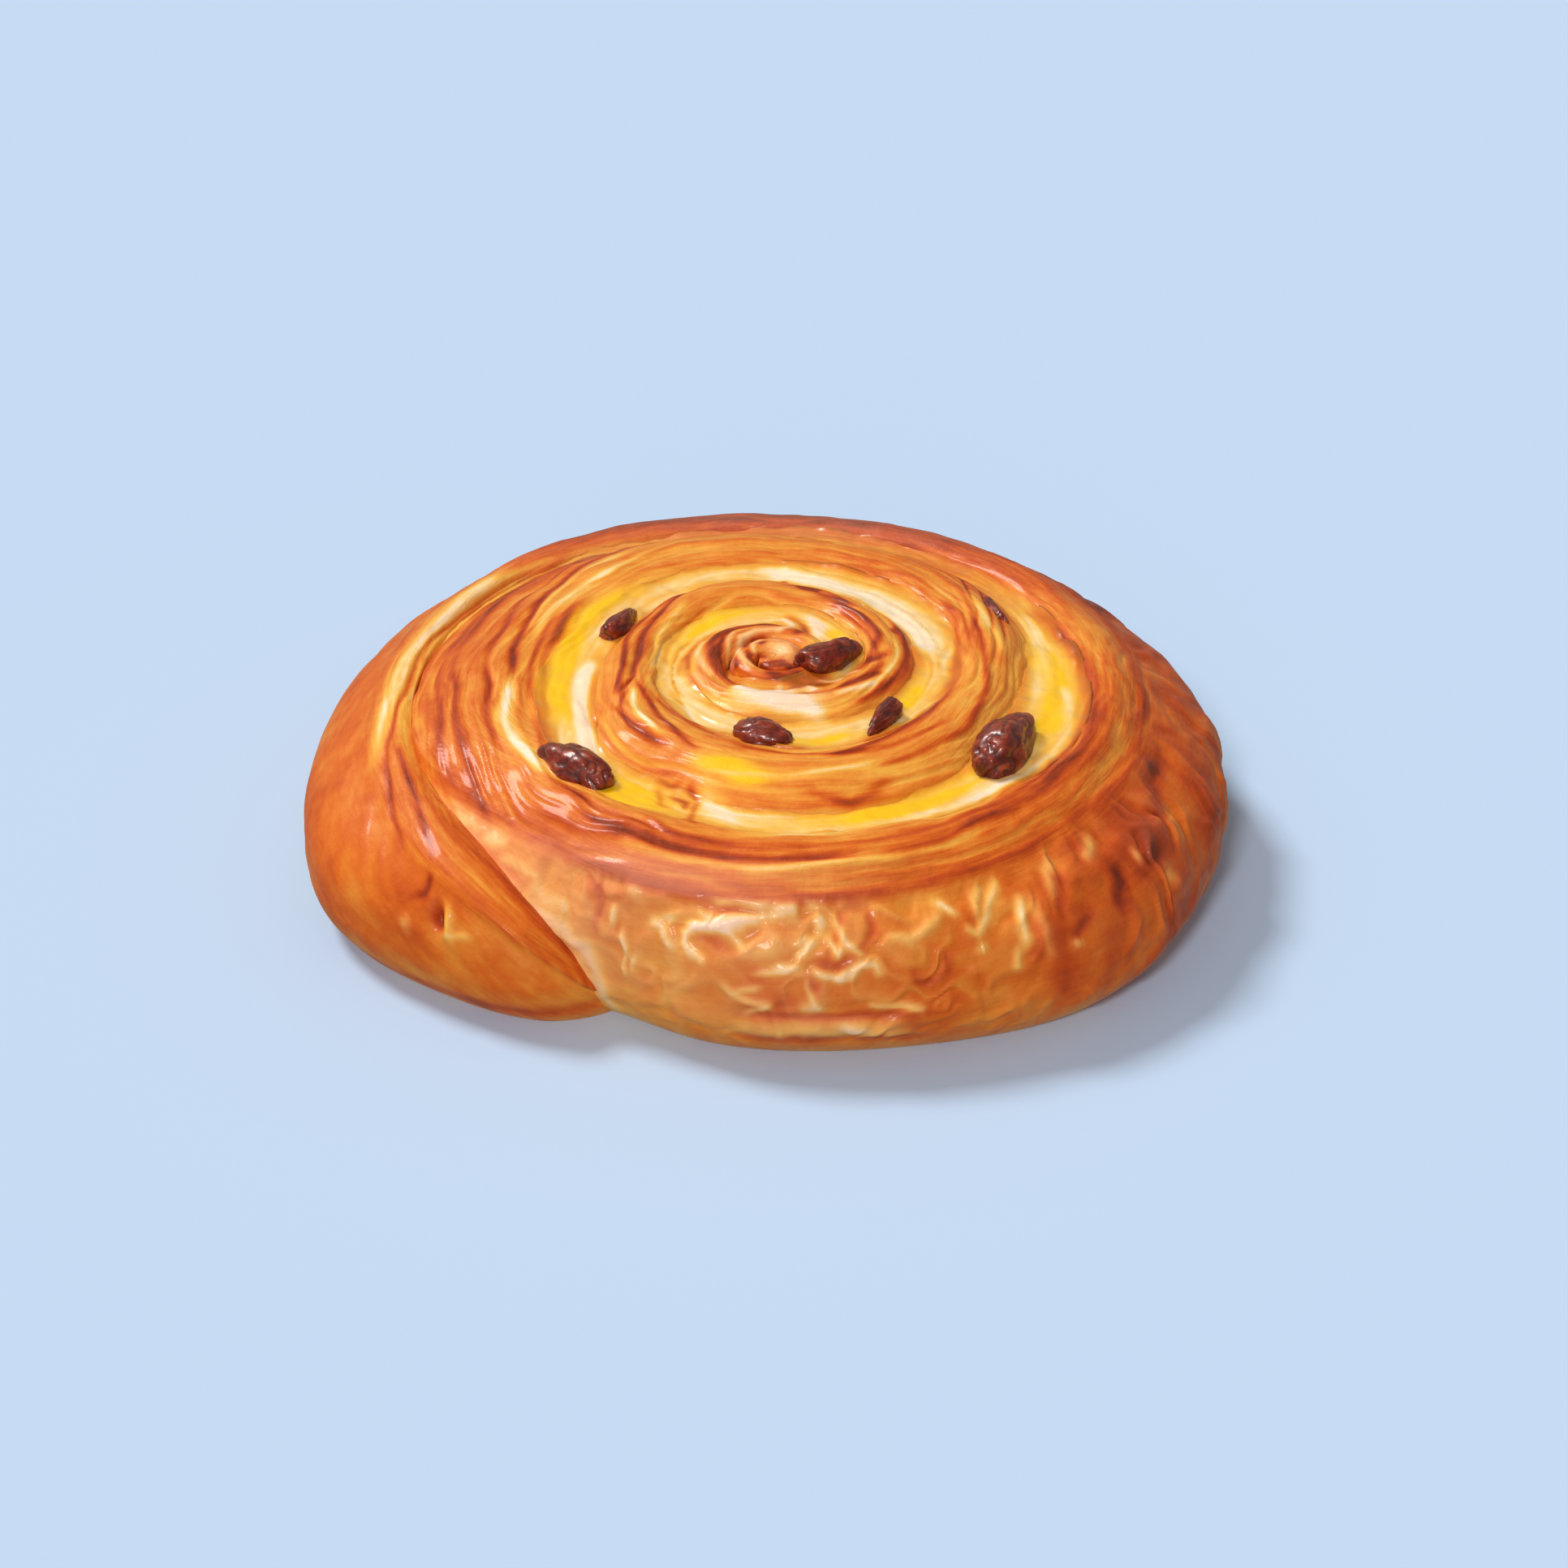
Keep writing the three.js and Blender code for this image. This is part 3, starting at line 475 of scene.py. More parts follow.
def outer_side(turn, z):
    """Radius of the strip's outer side: straight, then leaning in to the groove by a power of
    the rise; on the wall it bulges, leans in to the cut top's edge and tucks in at the base.
    At the strip's end it rounds in to the wall it is pressed against, as an ellipse does."""
    top = groove_height(turn)
    wall = wall_share(turn)
    thin = np.clip((seam_radius(turn) - seam_radius(turn - 1)) / 14, 0.12, 1)
    reach = lip(turn, strip_width(turn))
    inset = np.maximum(seam_radius(turn) - along(CUT_EDGE, turn), 3) * thin
    start = blend(top - lip_depth(reach), np.minimum(BULGE_HEIGHT, 0.45 * top), wall)
    rise = np.clip((z - start) / (top - start), 0, 1)
    tuck = wall * BASE_TUCK * np.clip(1 - z / TUCK_HEIGHT, 0, 1) ** 2
    lean = blend(reach, inset, wall) * rise ** blend(*LEAN_POWERS, wall)
    side = seam_radius(turn) - seam_room(turn) - lean - tuck
    if np.max(turn) < TAIL_START:
        return side
    hugged = outer_side(turn - 1, z) - 1.6
    return blend(hugged, side, np.sqrt(1 - toward_end(turn) ** 2))


def inner_side(turn, z):
    """Radius of the strip's inner side. The tail's follows the wall it is pressed against."""
    seam = np.maximum(turn - 1, 0)
    reach = lip(seam, strip_width(turn))
    rise = np.clip(1 + (z - groove_height(seam)) / lip_depth(reach), 0, 1)
    own = seam_radius(seam) + seam_room(seam) + reach * rise ** LEAN_POWERS[0]
    hugging = outer_side(seam, z) - TAIL_OVERLAP - 1.3 * toward_end(turn) ** 2
    own = blend(own, hugging, smooth(turn, *TAIL_HUG))
    return np.where(turn < 1, 0.02, own)


def crest_inner_height(turn):
    """Height of the strip's inner edge: the seam's inside it, the tail's own past its slope."""
    tail = smooth(turn, 5.38, 5.42)
    inner = np.minimum(groove_height(np.maximum(turn - 1, 0)), groove_height(turn) + 3)
    return blend(inner, groove_height(turn), tail)


# ---- surfaces ----


def lengths(fields, weight=1):
    """Length along each outline up to each of its samples, times the weight on the way."""
    step = np.hypot(np.diff(fields["r"], axis=1), np.diff(fields["z"], axis=1)) * weight
    return np.cumsum(np.pad(step, ((0, 0), (1, 0))), axis=1)


def resample(fields, weight, rows, corners):
    """Moves each column's samples to even steps of the weighted length from one corner of the
    outline to the next. A side gets its share of the rows by its mean weighted length."""
    run = lengths(fields, 0.5 * (weight[:, 1:] + weight[:, :-1]))
    run /= run[:, -1:]
    columns, samples = run.shape
    at_corners = run[:, [0, *corners, samples - 1]]
    spans = np.diff(at_corners, axis=1)
    counts = np.maximum(np.round((rows - 1) * spans.mean(axis=0)), 3).astype(int)
    counts[np.argmax(counts)] += rows - 1 - counts.sum()
    wanted = [at_corners[:, k : k + 1] + spans[:, k : k + 1] * np.linspace(0, 1, count, endpoint=False)
              for k, count in enumerate(counts)]
    # Each column is shifted past the one before, so that one search does for all.
    shift = 2.0 * np.arange(columns)[:, None]
    wanted = np.concatenate([*wanted, at_corners[:, -1:]], axis=1) + shift
    flat = (run + shift).ravel()
    base = samples * np.arange(columns)[:, None]
    high = np.searchsorted(flat, wanted.ravel()).reshape(wanted.shape)
    high = np.clip(high, base + 1, base + samples - 1)
    low = high - 1
    share = np.clip((wanted - flat[low]) / np.maximum(flat[high] - flat[low], 1e-12), 0, 1)
    return {k: blend(v.ravel()[low], v.ravel()[high], share) for k, v in fields.items()}


def joined(t, sides, *values):
    """Joins the sides of an outline end to end at each turn. A value may be one number."""
    return np.concatenate([np.broadcast_to(value, (len(t), side.size))
                           for side, value in zip(sides, values)], axis=1)


def even_turns(start, end, columns, least):
    """Turns at even steps along the spiral, as if its radius were nowhere below `least`."""
    fine = np.linspace(start, end, 4000)
    run = np.cumsum(np.maximum(seam_radius(fine), least))
    return np.interp(np.linspace(run[0], run[-1], columns), run, fine)


def strip_grid(turn, rows):
    """The strip's closed outline at each turn, as columns: along the underside outwards, up the
    outer side, over the crest and down the inner side. The crest is an arch between its two
    edges. Rows gather where the surface shows."""
    t = turn[:, None]
    # Samples of the four sides, from which the rows are picked below.
    low, up, over = (np.linspace(0, 1, count)[None, :-1] for count in (14, 170, 150))
    down = np.linspace(1, 0, 90)[None, :]
    sides = (low, up, over, down)
    outer_top, inner_top = groove_height(t), crest_inner_height(t)
    outer_z, inner_z = outer_top * up, inner_top * down
    from_r, to_r = outer_side(t, outer_top), inner_side(t, inner_top)
    arch = CROWN * np.sin(np.pi * over) ** 0.8 * np.clip((from_r - to_r) / 8, 0.12, 1)
    # Where the tail overlaps the wall, its inner foot stands a little clear of the wall's.
    foot = FOOT_GAP * smooth(t, *TAIL_HUG)
    fields = {
        "r": joined(t, sides, blend(inner_side(t, 0 * t), outer_side(t, 0 * t), low),
                    outer_side(t, outer_z), blend(from_r, to_r, over), inner_side(t, inner_z)),
        "z": joined(t, sides, foot * (1 - low) ** 4, outer_z,
                    blend(outer_top, inner_top, over) + arch, blend(foot, inner_top, down)),
        "wall": joined(t, sides, 0, wall_share(t) * (1 - smooth(up, 0.9, 1)), 0, 0),
        "crest": joined(t, sides, 0, smooth(up, 0.8, 1), 1, smooth(down, 0.8, 1)),
        "under": joined(t, sides, 1, 0, 0, 0),
    }
    # The outer side is hidden up to a little below the next turn's crest, or up to the tail.
    behind_tail = blend(groove_height(t + 1) - 4, -8, smooth(t, 4.6, 4.665))
    hidden_below = blend(outer_top - 6, behind_tail, smooth(t, 4.48, 4.56))
    seen_out = 0.1 + 0.9 * smooth(outer_z, hidden_below, hidden_below + 1.5)
    seen_in = 0.08 + 0.92 * smooth(inner_z, inner_top - 6, inner_top - 4.5)
    run = lengths(fields)
    corners = np.cumsum([side.size for side in sides[:3]])
    fields["v"] = run - run[:, corners[1] : corners[1] + 1]
    fields = resample(fields, joined(t, sides, 0.12, seen_out, 1.15, seen_in), rows, corners)
    fields["turn"] = np.broadcast_to(t, fields["r"].shape)
    return fields


def to_points(fields):
    """Plan place from radius and turn, height as it is."""
    angle = 2 * np.pi * fields["turn"]
    return np.stack([fields["r"] * np.cos(angle), fields["r"] * np.sin(angle), fields["z"]], axis=-1)


def normals_of(points):
    """Cross product of a grid's two directions, of length 1."""
    across = np.gradient(points, axis=1)
    across[:, 0] = across[:, -1] = points[:, 1] - points[:, -2]
    normal = np.cross(np.gradient(points, axis=0), across)
    return normal / np.maximum(np.linalg.norm(normal, axis=-1, keepdims=True), 1e-9)


def arc_lengths(turn):
    """Length along the spiral from its heart."""
    fine = np.linspace(0, 6, 6001)
    run = np.concatenate([[0], np.cumsum(2 * np.pi * np.diff(fine) * seam_radius(fine[1:]))])
    return np.interp(turn, fine, run)


def nearness(x, y, raisin):
    """Distance from a raisin in plan, counted in its own half length and half width."""
    (cx, cy), (length, width, _), degrees, *_ = raisin
    a = math.radians(degrees)
    dx, dy = x - cx, y - cy
    lengthwise = (dx * math.cos(a) + dy * math.sin(a)) / (length / 2)
    crosswise = (dy * math.cos(a) - dx * math.sin(a)) / (width / 2)
    return np.hypot(lengthwise, crosswise)


def swirl_marks(x, y, jitter):
    """The lines and spots of the swirl at plan places: each line's amount times a bell of the
    distance to it in radius, fading at its ends. Returns browning and rise."""
    degrees = np.degrees(np.arctan2(y, x)) % 360
    radius = np.hypot(x, y) + 0.5 * jitter
    brown = rise = 0
    for knots, width, amount, lift in SWIRL_LINES:
        places, radii = zip(*knots)
        first, last = places[0], places[-1]
        fade = min(5, (last - first) / 3)
        for at in (degrees, degrees + 360) if last > 360 else (degrees,):
            ends = between(at, (first - fade, first + fade), (last - fade, last + fade))
            line = bell(radius, np.interp(at, places, radii), width) * ends * (1 + 0.5 * jitter)
            brown = brown + amount * line
            rise = rise + lift * line
    for place, out, size, amount in SWIRL_SPOTS:
        a = math.radians(place)
        apart = np.hypot(x - out * math.cos(a), y - out * math.sin(a)) * (1 + 0.3 * jitter)
        brown = brown + amount * (1 - smooth(apart, 0.5 * size, 1.2 * size))
    return brown, rise


def swirl_finish(x, y, strip, u):
    """Browning, yellow, rise and paleness of the swirl at plan places on the strip's turn
    `strip`. The baked sides, the rim and the coil are browner, and dough soaked by the custard
    beside it is paler. Streaks run along the strip, the pools lie over them, and the marks over
    all. Dough and custard share it, so the one fades into the other."""
    radius = np.hypot(x, y)
    degrees = np.degrees(np.arctan2(y, x)) % 360
    inner = seam_radius(np.maximum(strip - 1, 0))
    width = np.maximum(seam_radius(strip) - inner, 1.5)
    across = radius - inner
    share = np.clip(across / width, 0, 1)
    bend = noise(u / 11, across / 3.5, 0.5, 12)
    streaks = [noise(u / length, across / thick + carried * bend, place, seed)
               for length, thick, carried, place, seed, *_ in STREAKS]
    layers = streaks[1]
    sides = [smooth(radius, *start) * toward(degrees, centre, spread)
             for start, centre, spread, _ in BAKED_SIDES]
    rim = smooth(strip, 4.6, 4.72) * smooth(share, 0.35, 0.9)
    coil = 1 - smooth(radius, 6.5, 10)

    # Past the custard's end only the strip's inner side lies beside custard, and the tail's
    # doesn't. Behind the coil the custard is dry.
    beside = np.minimum(share, 1 - share * (1 - smooth(strip, 4.25, 4.5))) * width
    soaked = (1 - smooth(beside, 0.6, 3.2 + 0.8 * bend)) * (1 - 0.85 * coil)
    soaked = soaked * (1 - smooth(strip, 5.5, 5.58))
    soaked = soaked * (1 - 0.75 * toward(degrees, 48, 28) * smooth(radius, 33, 37))
    bake = SWIRL_BAKE + RIM_BAKE * rim + COIL_BAKE * coil + SOAKED_BAKE * soaked * (1 - 0.6 * rim)
    bake = bake + sum(row[-1] * side for row, side in zip(BAKED_SIDES, sides))
    bake = bake + sum(row[-2] * streak for row, streak in zip(STREAKS, streaks))

    marks, rise = swirl_marks(x, y, bend)
    coil_marks, pale, coil_rise = stroke_marks(x + 0.25 * bend, y + 0.25 * layers, COIL_STROKES)
    marks = marks + coil_marks
    rise = rise + coil_rise + sum(row[-1] * streak for row, streak in zip(STREAKS, streaks))
    pools = sum(toward(degrees, place, spread) * bell(radius, out, depth)
                for place, out, spread, depth in YELLOW_POOLS)
    pools = np.clip(1.4 * pools * (1 + 0.6 * layers), 0, 0.9)
    bake = blend(bake, POOL_BAKE, 0.8 * pools) + marks
    pools = pools * (1 - np.clip(1.6 * np.abs(marks), 0, 0.9))
    bake = bake + TAIL_EDGE_BAKE * bell(across, 0, 2.2) * smooth(strip, 5.54, 5.62)

    # The cut edge at the front: a brown line, and outside it a pinkish paleness that is painted
    # highlight. The far side is paled a little as painted sheen.
    front = toward(degrees, 250, 24) * (1 - smooth(strip, 5.2, 5.3))
    bake = bake + 0.18 * front * bell(radius, 40.2, 1.8)
    pale = 1.2 * pale + 0.22 * front * smooth(radius, 40.5, 43) + 0.12 * sides[0]
    return np.clip(bake, 0, 0.95), pools, rise, np.clip(pale, 0, 0.7)


def stroke_marks(x, y, strokes):
    """Strokes drawn through their points: a bell of the distance to the nearest stretch,
    thinning out towards both ends. Returns browning, paleness and rise."""
    brown, pale, rise = (np.zeros(x.shape) for _ in range(3))
    for points, width, amount, lift in strokes:
        xs, ys = zip(*points)
        room = 3 * width
        near = (x > min(xs) - room) & (x < max(xs) + room) & (y > min(ys) - room) & (y < max(ys) + room)
        if not near.any():
            continue
        px, py = x[near], y[near]
        gap = np.full(px.shape, 1e9)
        share = np.zeros(px.shape)
        for k, ((ax, ay), (bx, by)) in enumerate(itertools.pairwise(points)):
            dx, dy = bx - ax, by - ay
            part = np.clip(((px - ax) * dx + (py - ay) * dy) / (dx * dx + dy * dy), 0, 1)
            apart = (px - ax - part * dx) ** 2 + (py - ay - part * dy) ** 2
            share = np.where(apart < gap, (k + part) / (len(points) - 1), share)
            gap = np.minimum(gap, apart)
        line = np.exp(-gap / width**2) * (0.5 + 0.5 * np.sqrt(4 * share * (1 - share)))
        brown[near] += amount * line
        pale[near] += max(-amount, 0) * line
        rise[near] += lift * line
    return brown, pale, rise


def wall_marks(turn, z, jitter):
    """The strokes on the wall, with the turn counted in millimetres along it."""
    strokes = [([(TURN_LENGTH * t, h) for t, h in points], 1.25 * width, *rest)
               for points, width, *rest in WALL_STROKES]
    return stroke_marks(TURN_LENGTH * turn + 0.5 * jitter, z + 0.3 * jitter, strokes)


def ridges(pattern, power):
    """Ridges that loop in and round each other: a cosine of noise, sharpened by a power."""
    return (0.5 + 0.5 * np.cos(pattern)) ** power


def wall_skin(f):
    """Blistered skin of the wall: looping ridges of warped noise at the front, upright folds on
    the right and at the back, small wrinkles beside the tail, and on the tail only streaks.
    Returns rise, ridges, streaks, pillows and where a pinkish paleness is painted on as highlight:
    at the front and beside the tail."""
    u, v, t = f["u"], f["v"], f["turn"]
    wu = u + 3 * cloud(u / 8, v / 8, 1.5, 21, 2)
    wv = v + 3 * cloud(u / 8, v / 8, 4.5, 22, 2)
    slant_u, slant_v = 0.82 * wu + 0.57 * wv, 0.82 * wv - 0.57 * wu
    loops = ridges(7.5 * noise(slant_u / 5, slant_v / 4, 0.5, 23) + 1, 1.6)
    folds = ridges(7.5 * noise(wu / 5, wv / 14, 0.5, 26), 1.5)
    slant_u, slant_v = wu - 0.35 * wv, wv + 0.35 * wu
    wrinkles = ridges(10 * noise(slant_u / 9, slant_v / 3.4, 3.5, 25), 1.4)
    pillows = cloud(wu / 8, wv / 6.5, 8.5, 24, 2)
    streaks = cloud((0.45 * u + v) / 2.2, (u - 0.45 * v) / 15, 6.5, 28, 2)
    mask = np.clip(0.6 + 0.7 * noise(u / 9, v / 7, 9.5, 29), 0.1, 1)

    tail = smooth(t, 5.36, 5.46)
    right = smooth(t, 4.8, 4.88) * (1 - tail)
    beside = 1 - smooth(t, 4.67, 4.72)
    looping = np.clip(1 - right - tail - beside, 0, 1) * loops * mask
    upright = right * (0.75 * folds + 0.25 * loops) * mask
    wrinkled = beside * wrinkles * mask
    low_back = 1 - 0.4 * smooth(t, 4.93, 5)
    rise = 0.34 * looping + 0.65 * low_back * upright + 0.35 * wrinkled
    rise = rise + 0.45 * (1 - 0.92 * tail) * pillows + 0.07 * (tail + 0.3) * streaks
    rise = rise - 0.4 * smooth(t, 4.68, 4.75)
    # Where the paleness is painted on as highlight: the front and beside the tail.
    thin = 1 - smooth(t, 4.74, 4.82)
    return rise, looping + upright + wrinkled, streaks * tail, pillows, thin


def wall_finish(f, lumps):
    """Rise, browning and paleness of the wall: its skin, the strokes read from the picture and
    the dimple in the tail with its raised brink. It is baked more at the back and the tail and
    darker at the right with painted shade; it is lighter at its foot with painted light and on
    its ridges with painted highlight."""
    u, v, t, z, wall = (f[key] for key in ("u", "v", "turn", "z", "wall"))
    skin, ridged, streaks, pillows, thin = wall_skin(f)
    brown, pale, drawn = wall_marks(t, z, noise(u / 2.5, v / 2.5, 0.5, 34))
    aside = (t - DIMPLE[0]) * TAIL_TURN_LENGTH + 0.3 * (z - DIMPLE[1])
    dimple = bell(aside, 0, 0.8) * bell(z, DIMPLE[1], 1.6) * wall
    brink = bell(aside, 1.5, 0.7) * bell(z, DIMPLE[1], 2) * wall
    rise = wall * (skin * smooth(z, 0.3, 5) + 0.7 * drawn * smooth(z, 0.3, 3))
    rise = rise - 1.2 * dimple + 0.5 * brink

    # Darker at the right: painted shade, with some real dark mottling.
    right = between(t, (4.76, 4.93), (5.12, 5.3))
    back = between(t, (5.05, 5.2), (5.32, 5.45))
    tail = smooth(t, 5.4, 5.5)
    bake = WALL_BAKE + WALL_RIGHT_SHADE * right + WALL_BACK_BAKE * back + TAIL_BAKE * tail
    bake = bake + 0.22 * back * bell(v, 0, 6) + 0.12 * right * cloud(u / 6, v / 6, 2.5, 35, 2)
    # Ridges a little lighter and the hollows between them darker: painted highlight and shade.
    bake = bake + 0.85 * brown - 0.08 * (ridged - 0.4) + 0.05 * streaks + 0.06 * pillows
    # Lighter towards the foot: painted light where the base lies in shade.
    bake = bake - (0.03 + 0.07 * tail) * bell(z, 0, 5 + 3 * tail)
    # Painted shade darkens the dimple's pit and a painted highlight pales its brink.
    bake = bake + 0.3 * dimple - 0.25 * brink + 0.1 * lumps

    folded = 1 - smooth(t, 4.66, 4.71)
    # The pinkish paleness of the strokes, the ridges, the front and beside the tail: painted highlight,
    # with some of the dough's own cream.
    pale = 0.55 * pale * (1 - 0.4 * smooth(t, 4.79, 4.83)) + 0.05 * ridged * right
    pale = pale + thin * (0.07 + 0.1 * folded + 0.12 * ridged) * smooth(z, 1, 9)
    return rise, bake, np.clip(pale, 0, 0.8)


def dough_piece(name, start, end, columns, rows, material):
    """A stretch of the strip: its outline carried round the spiral and moved along its normals
    by the layers, marks and blisters. One column past either end is worked out as well, so
    that shading runs on across the joint between two stretches."""
    turn = even_turns(start, end, columns, 3.5)
    turn = np.concatenate([[2 * turn[0] - turn[1]], turn, [2 * turn[-1] - turn[-2]]])
    f = strip_grid(np.clip(turn, 0, STRIP_END), rows)
    f["u"] = arc_lengths(f["turn"])
    points = to_points(f)
    x, y, z = (points[..., k] for k in range(3))
    t, wall, under = f["turn"], f["wall"], f["under"]
    crest = f["crest"] * (1 - wall)

    bake, yellow, rise, pale = swirl_finish(x, y, t, f["u"])
    lumps = cloud(x / 13, y / 13, z / 13, 31, 3)
    wall_rise, wall_bake, wall_pale_and_highlight = wall_finish(f, lumps)
    edge = noise(f["u"] / 9, 0.5, 0.5, 33)
    rim = bell(f["v"], -0.8 + 0.7 * edge, 0.9) * wall_share(t) * (1 - smooth(t, 5.3, 5.5))
    thin = np.clip(strip_width(t) / 7, 0.15, 1)
    calm = 1 - 0.6 * smooth(t, 5.4, 5.5)
    lift = crest * rise * thin * calm + 0.2 * rim + wall_rise
    lift = lift + 0.35 * lumps * calm * (1 - under) * thin * smooth(z, 0.3, 4)
    lift = lift * smooth(wall + crest, 0, 0.3)
    points = points + lift[..., None] * normals_of(points)
    points[..., 2] = np.maximum(points[..., 2], 0)

    share = smooth(wall, 0.05, 0.8)
    bake = blend(bake, wall_bake, share) + 0.18 * rim
    bake = blend(bake, UNDER_BAKE + 0.15 * lumps, smooth(under, 0.3, 1))
    pale = blend(pale, wall_pale_and_highlight, share) * (1 - under)
    spots = {"bake": bake, "yellow": yellow * crest, "wall": np.maximum(wall, under), "pale": pale}
    uv = np.stack([f["u"], f["v"]], axis=-1)
    return lay_mesh(name, points, uv, spots, material, guides=True)


def custard_piece(name, columns, rows, material):
    """The custard: a band as thick as its gap, widening on top to meet the crests. Its surface
    sags between them, rises at its edges and creeps up beside the raisins."""
    t = even_turns(CUSTARD_START, CUSTARD_END, columns, 4)[:, None]
    middle, half = seam_radius(t), custard_half(t)
    level = groove_height(t) - 1.2 * (1 - between(t, *CUSTARD_SHOWN))
    near = half + lip(t, strip_width(t)) * 0.95 + CUSTARD_OVERLAP
    far = half + lip(t, strip_width(t + 1)) * 0.95 + CUSTARD_OVERLAP
    over = np.linspace(1, -1, 120)[None, :]
    fall = np.linspace(0, 1, 30)[None, 1:]
    below = np.linspace(-1, 1, 6)[None, 1:-1]
    sides = (over, fall, below, fall)
    narrow = 1 - smooth(fall, 0, 0.25)
    edge = level + 0.05
    side = edge - (edge - CUSTARD_FLOOR) * fall
    fields = {
        "r": joined(t, sides, middle + np.where(over > 0, far, near) * over,
                    middle - half - (near - half) * narrow, middle + half * below,
                    (middle + half + (far - half) * narrow)[:, ::-1]),
        "z": joined(t, sides, level - CUSTARD_SAG + 0.4 * np.abs(over) ** 3, side, CUSTARD_FLOOR,
                    side[:, ::-1]),
        "top": joined(t, sides, 1.0, 0, 0, 0),
        "brink": joined(t, sides, np.abs(over) ** 5, 1, 1, 1),
    }
    fields = {key: values[:, ::-1] for key, values in fields.items()}
    fields["v"] = lengths(fields)
    weight = np.where(fields["top"] > 0.5, 1, 0.06)
    f = resample(fields, weight, rows, [weight.shape[1] - over.size])
    f["turn"] = np.broadcast_to(t, f["r"].shape)
    points = to_points(f)
    x, y = points[..., 0], points[..., 1]
    strip = f["turn"] + (f["r"] > seam_radius(f["turn"]))
    f["u"] = arc_lengths(strip)
    bake, yellow, rise, pale = swirl_finish(x, y, strip, f["u"])
    lumps = cloud(x / 5, y / 5, 0.5, 51, 3)
    creep = sum(0.3 * bell(nearness(x, y, raisin), 1.1, 0.3) for raisin in RAISINS)
    points[..., 2] += (0.3 * lumps + creep + 0.7 * rise) * f["top"]
    bake = blend(0.5, bake - 0.05 + 0.2 * f["brink"], f["top"])
    spots = {"bake": bake, "yellow": np.clip(yellow + 0.1, 0, 1), "pale": pale}
    return lay_mesh(name, points, np.stack([f["u"], f["v"]], axis=-1), spots, material)


def raisin_piece(name, raisin, index, material):
    """A raisin: an ellipsoid with blunt ends round its length, dented along warped lines where
    the skin has shrunk, wider folds first and fine wrinkles on them."""
    (cx, cy), size, degrees, sunk, thinner = raisin
    along_it = np.linspace(np.pi, 0, 74)[:, None]
    round_it = np.linspace(0, 2 * np.pi, 97)[None, :-1]
    x = np.cos(along_it) + 0 * round_it
    y = np.sin(along_it) * np.cos(round_it)
    z = np.sin(along_it) * np.sin(round_it)
    off = index * 9.7
    warps = [0.35 * noise(x * 2, y * 2, z * 2 + off, seed) for seed in (61, 62, 63)]
    wx, wy, wz = (a * tight + warp for a, tight, warp in zip((x, y, z), (1.1, 1.9, 1.9), warps))
    fold = np.abs(noise(wx, wy, wz + off, 64))
    fine = np.abs(noise(wx * 2.3, wy * 2.3, wz * 2.3 + off, 65))
    bulk = noise(x * 1.1, y * 1.1, z * 1.1 + off, 66)
    grown = 0.93 + 0.18 * bulk + 0.16 * np.clip(fold, 0, 0.4) + 0.05 * np.clip(fine, 0, 0.35)
    blunt = np.maximum(np.sin(along_it), 1e-6) ** -0.25
    slim = grown * (1 - thinner * x) * blunt
    x_mm, y_mm, z_mm = (a * s / 2 for a, s in zip((x * grown, y * slim, z * slim), size))
    a = math.radians(degrees)
    surface = dome(math.hypot(cx, cy), math.atan2(cy, cx) / (2 * np.pi))
    points = np.stack([
        x_mm * math.cos(a) - y_mm * math.sin(a) + cx,
        x_mm * math.sin(a) + y_mm * math.cos(a) + cy,
        z_mm + surface + size[2] * (0.5 - sunk),
    ], axis=-1)
    # Darker in the skin's dents: painted shade.
    spots = {"crease": 0.8 - 0.8 * smooth(fold, 0.02, 0.2) * smooth(fine, 0, 0.1)}
    return lay_mesh(name, points, np.stack([x, y], axis=-1), spots, material)


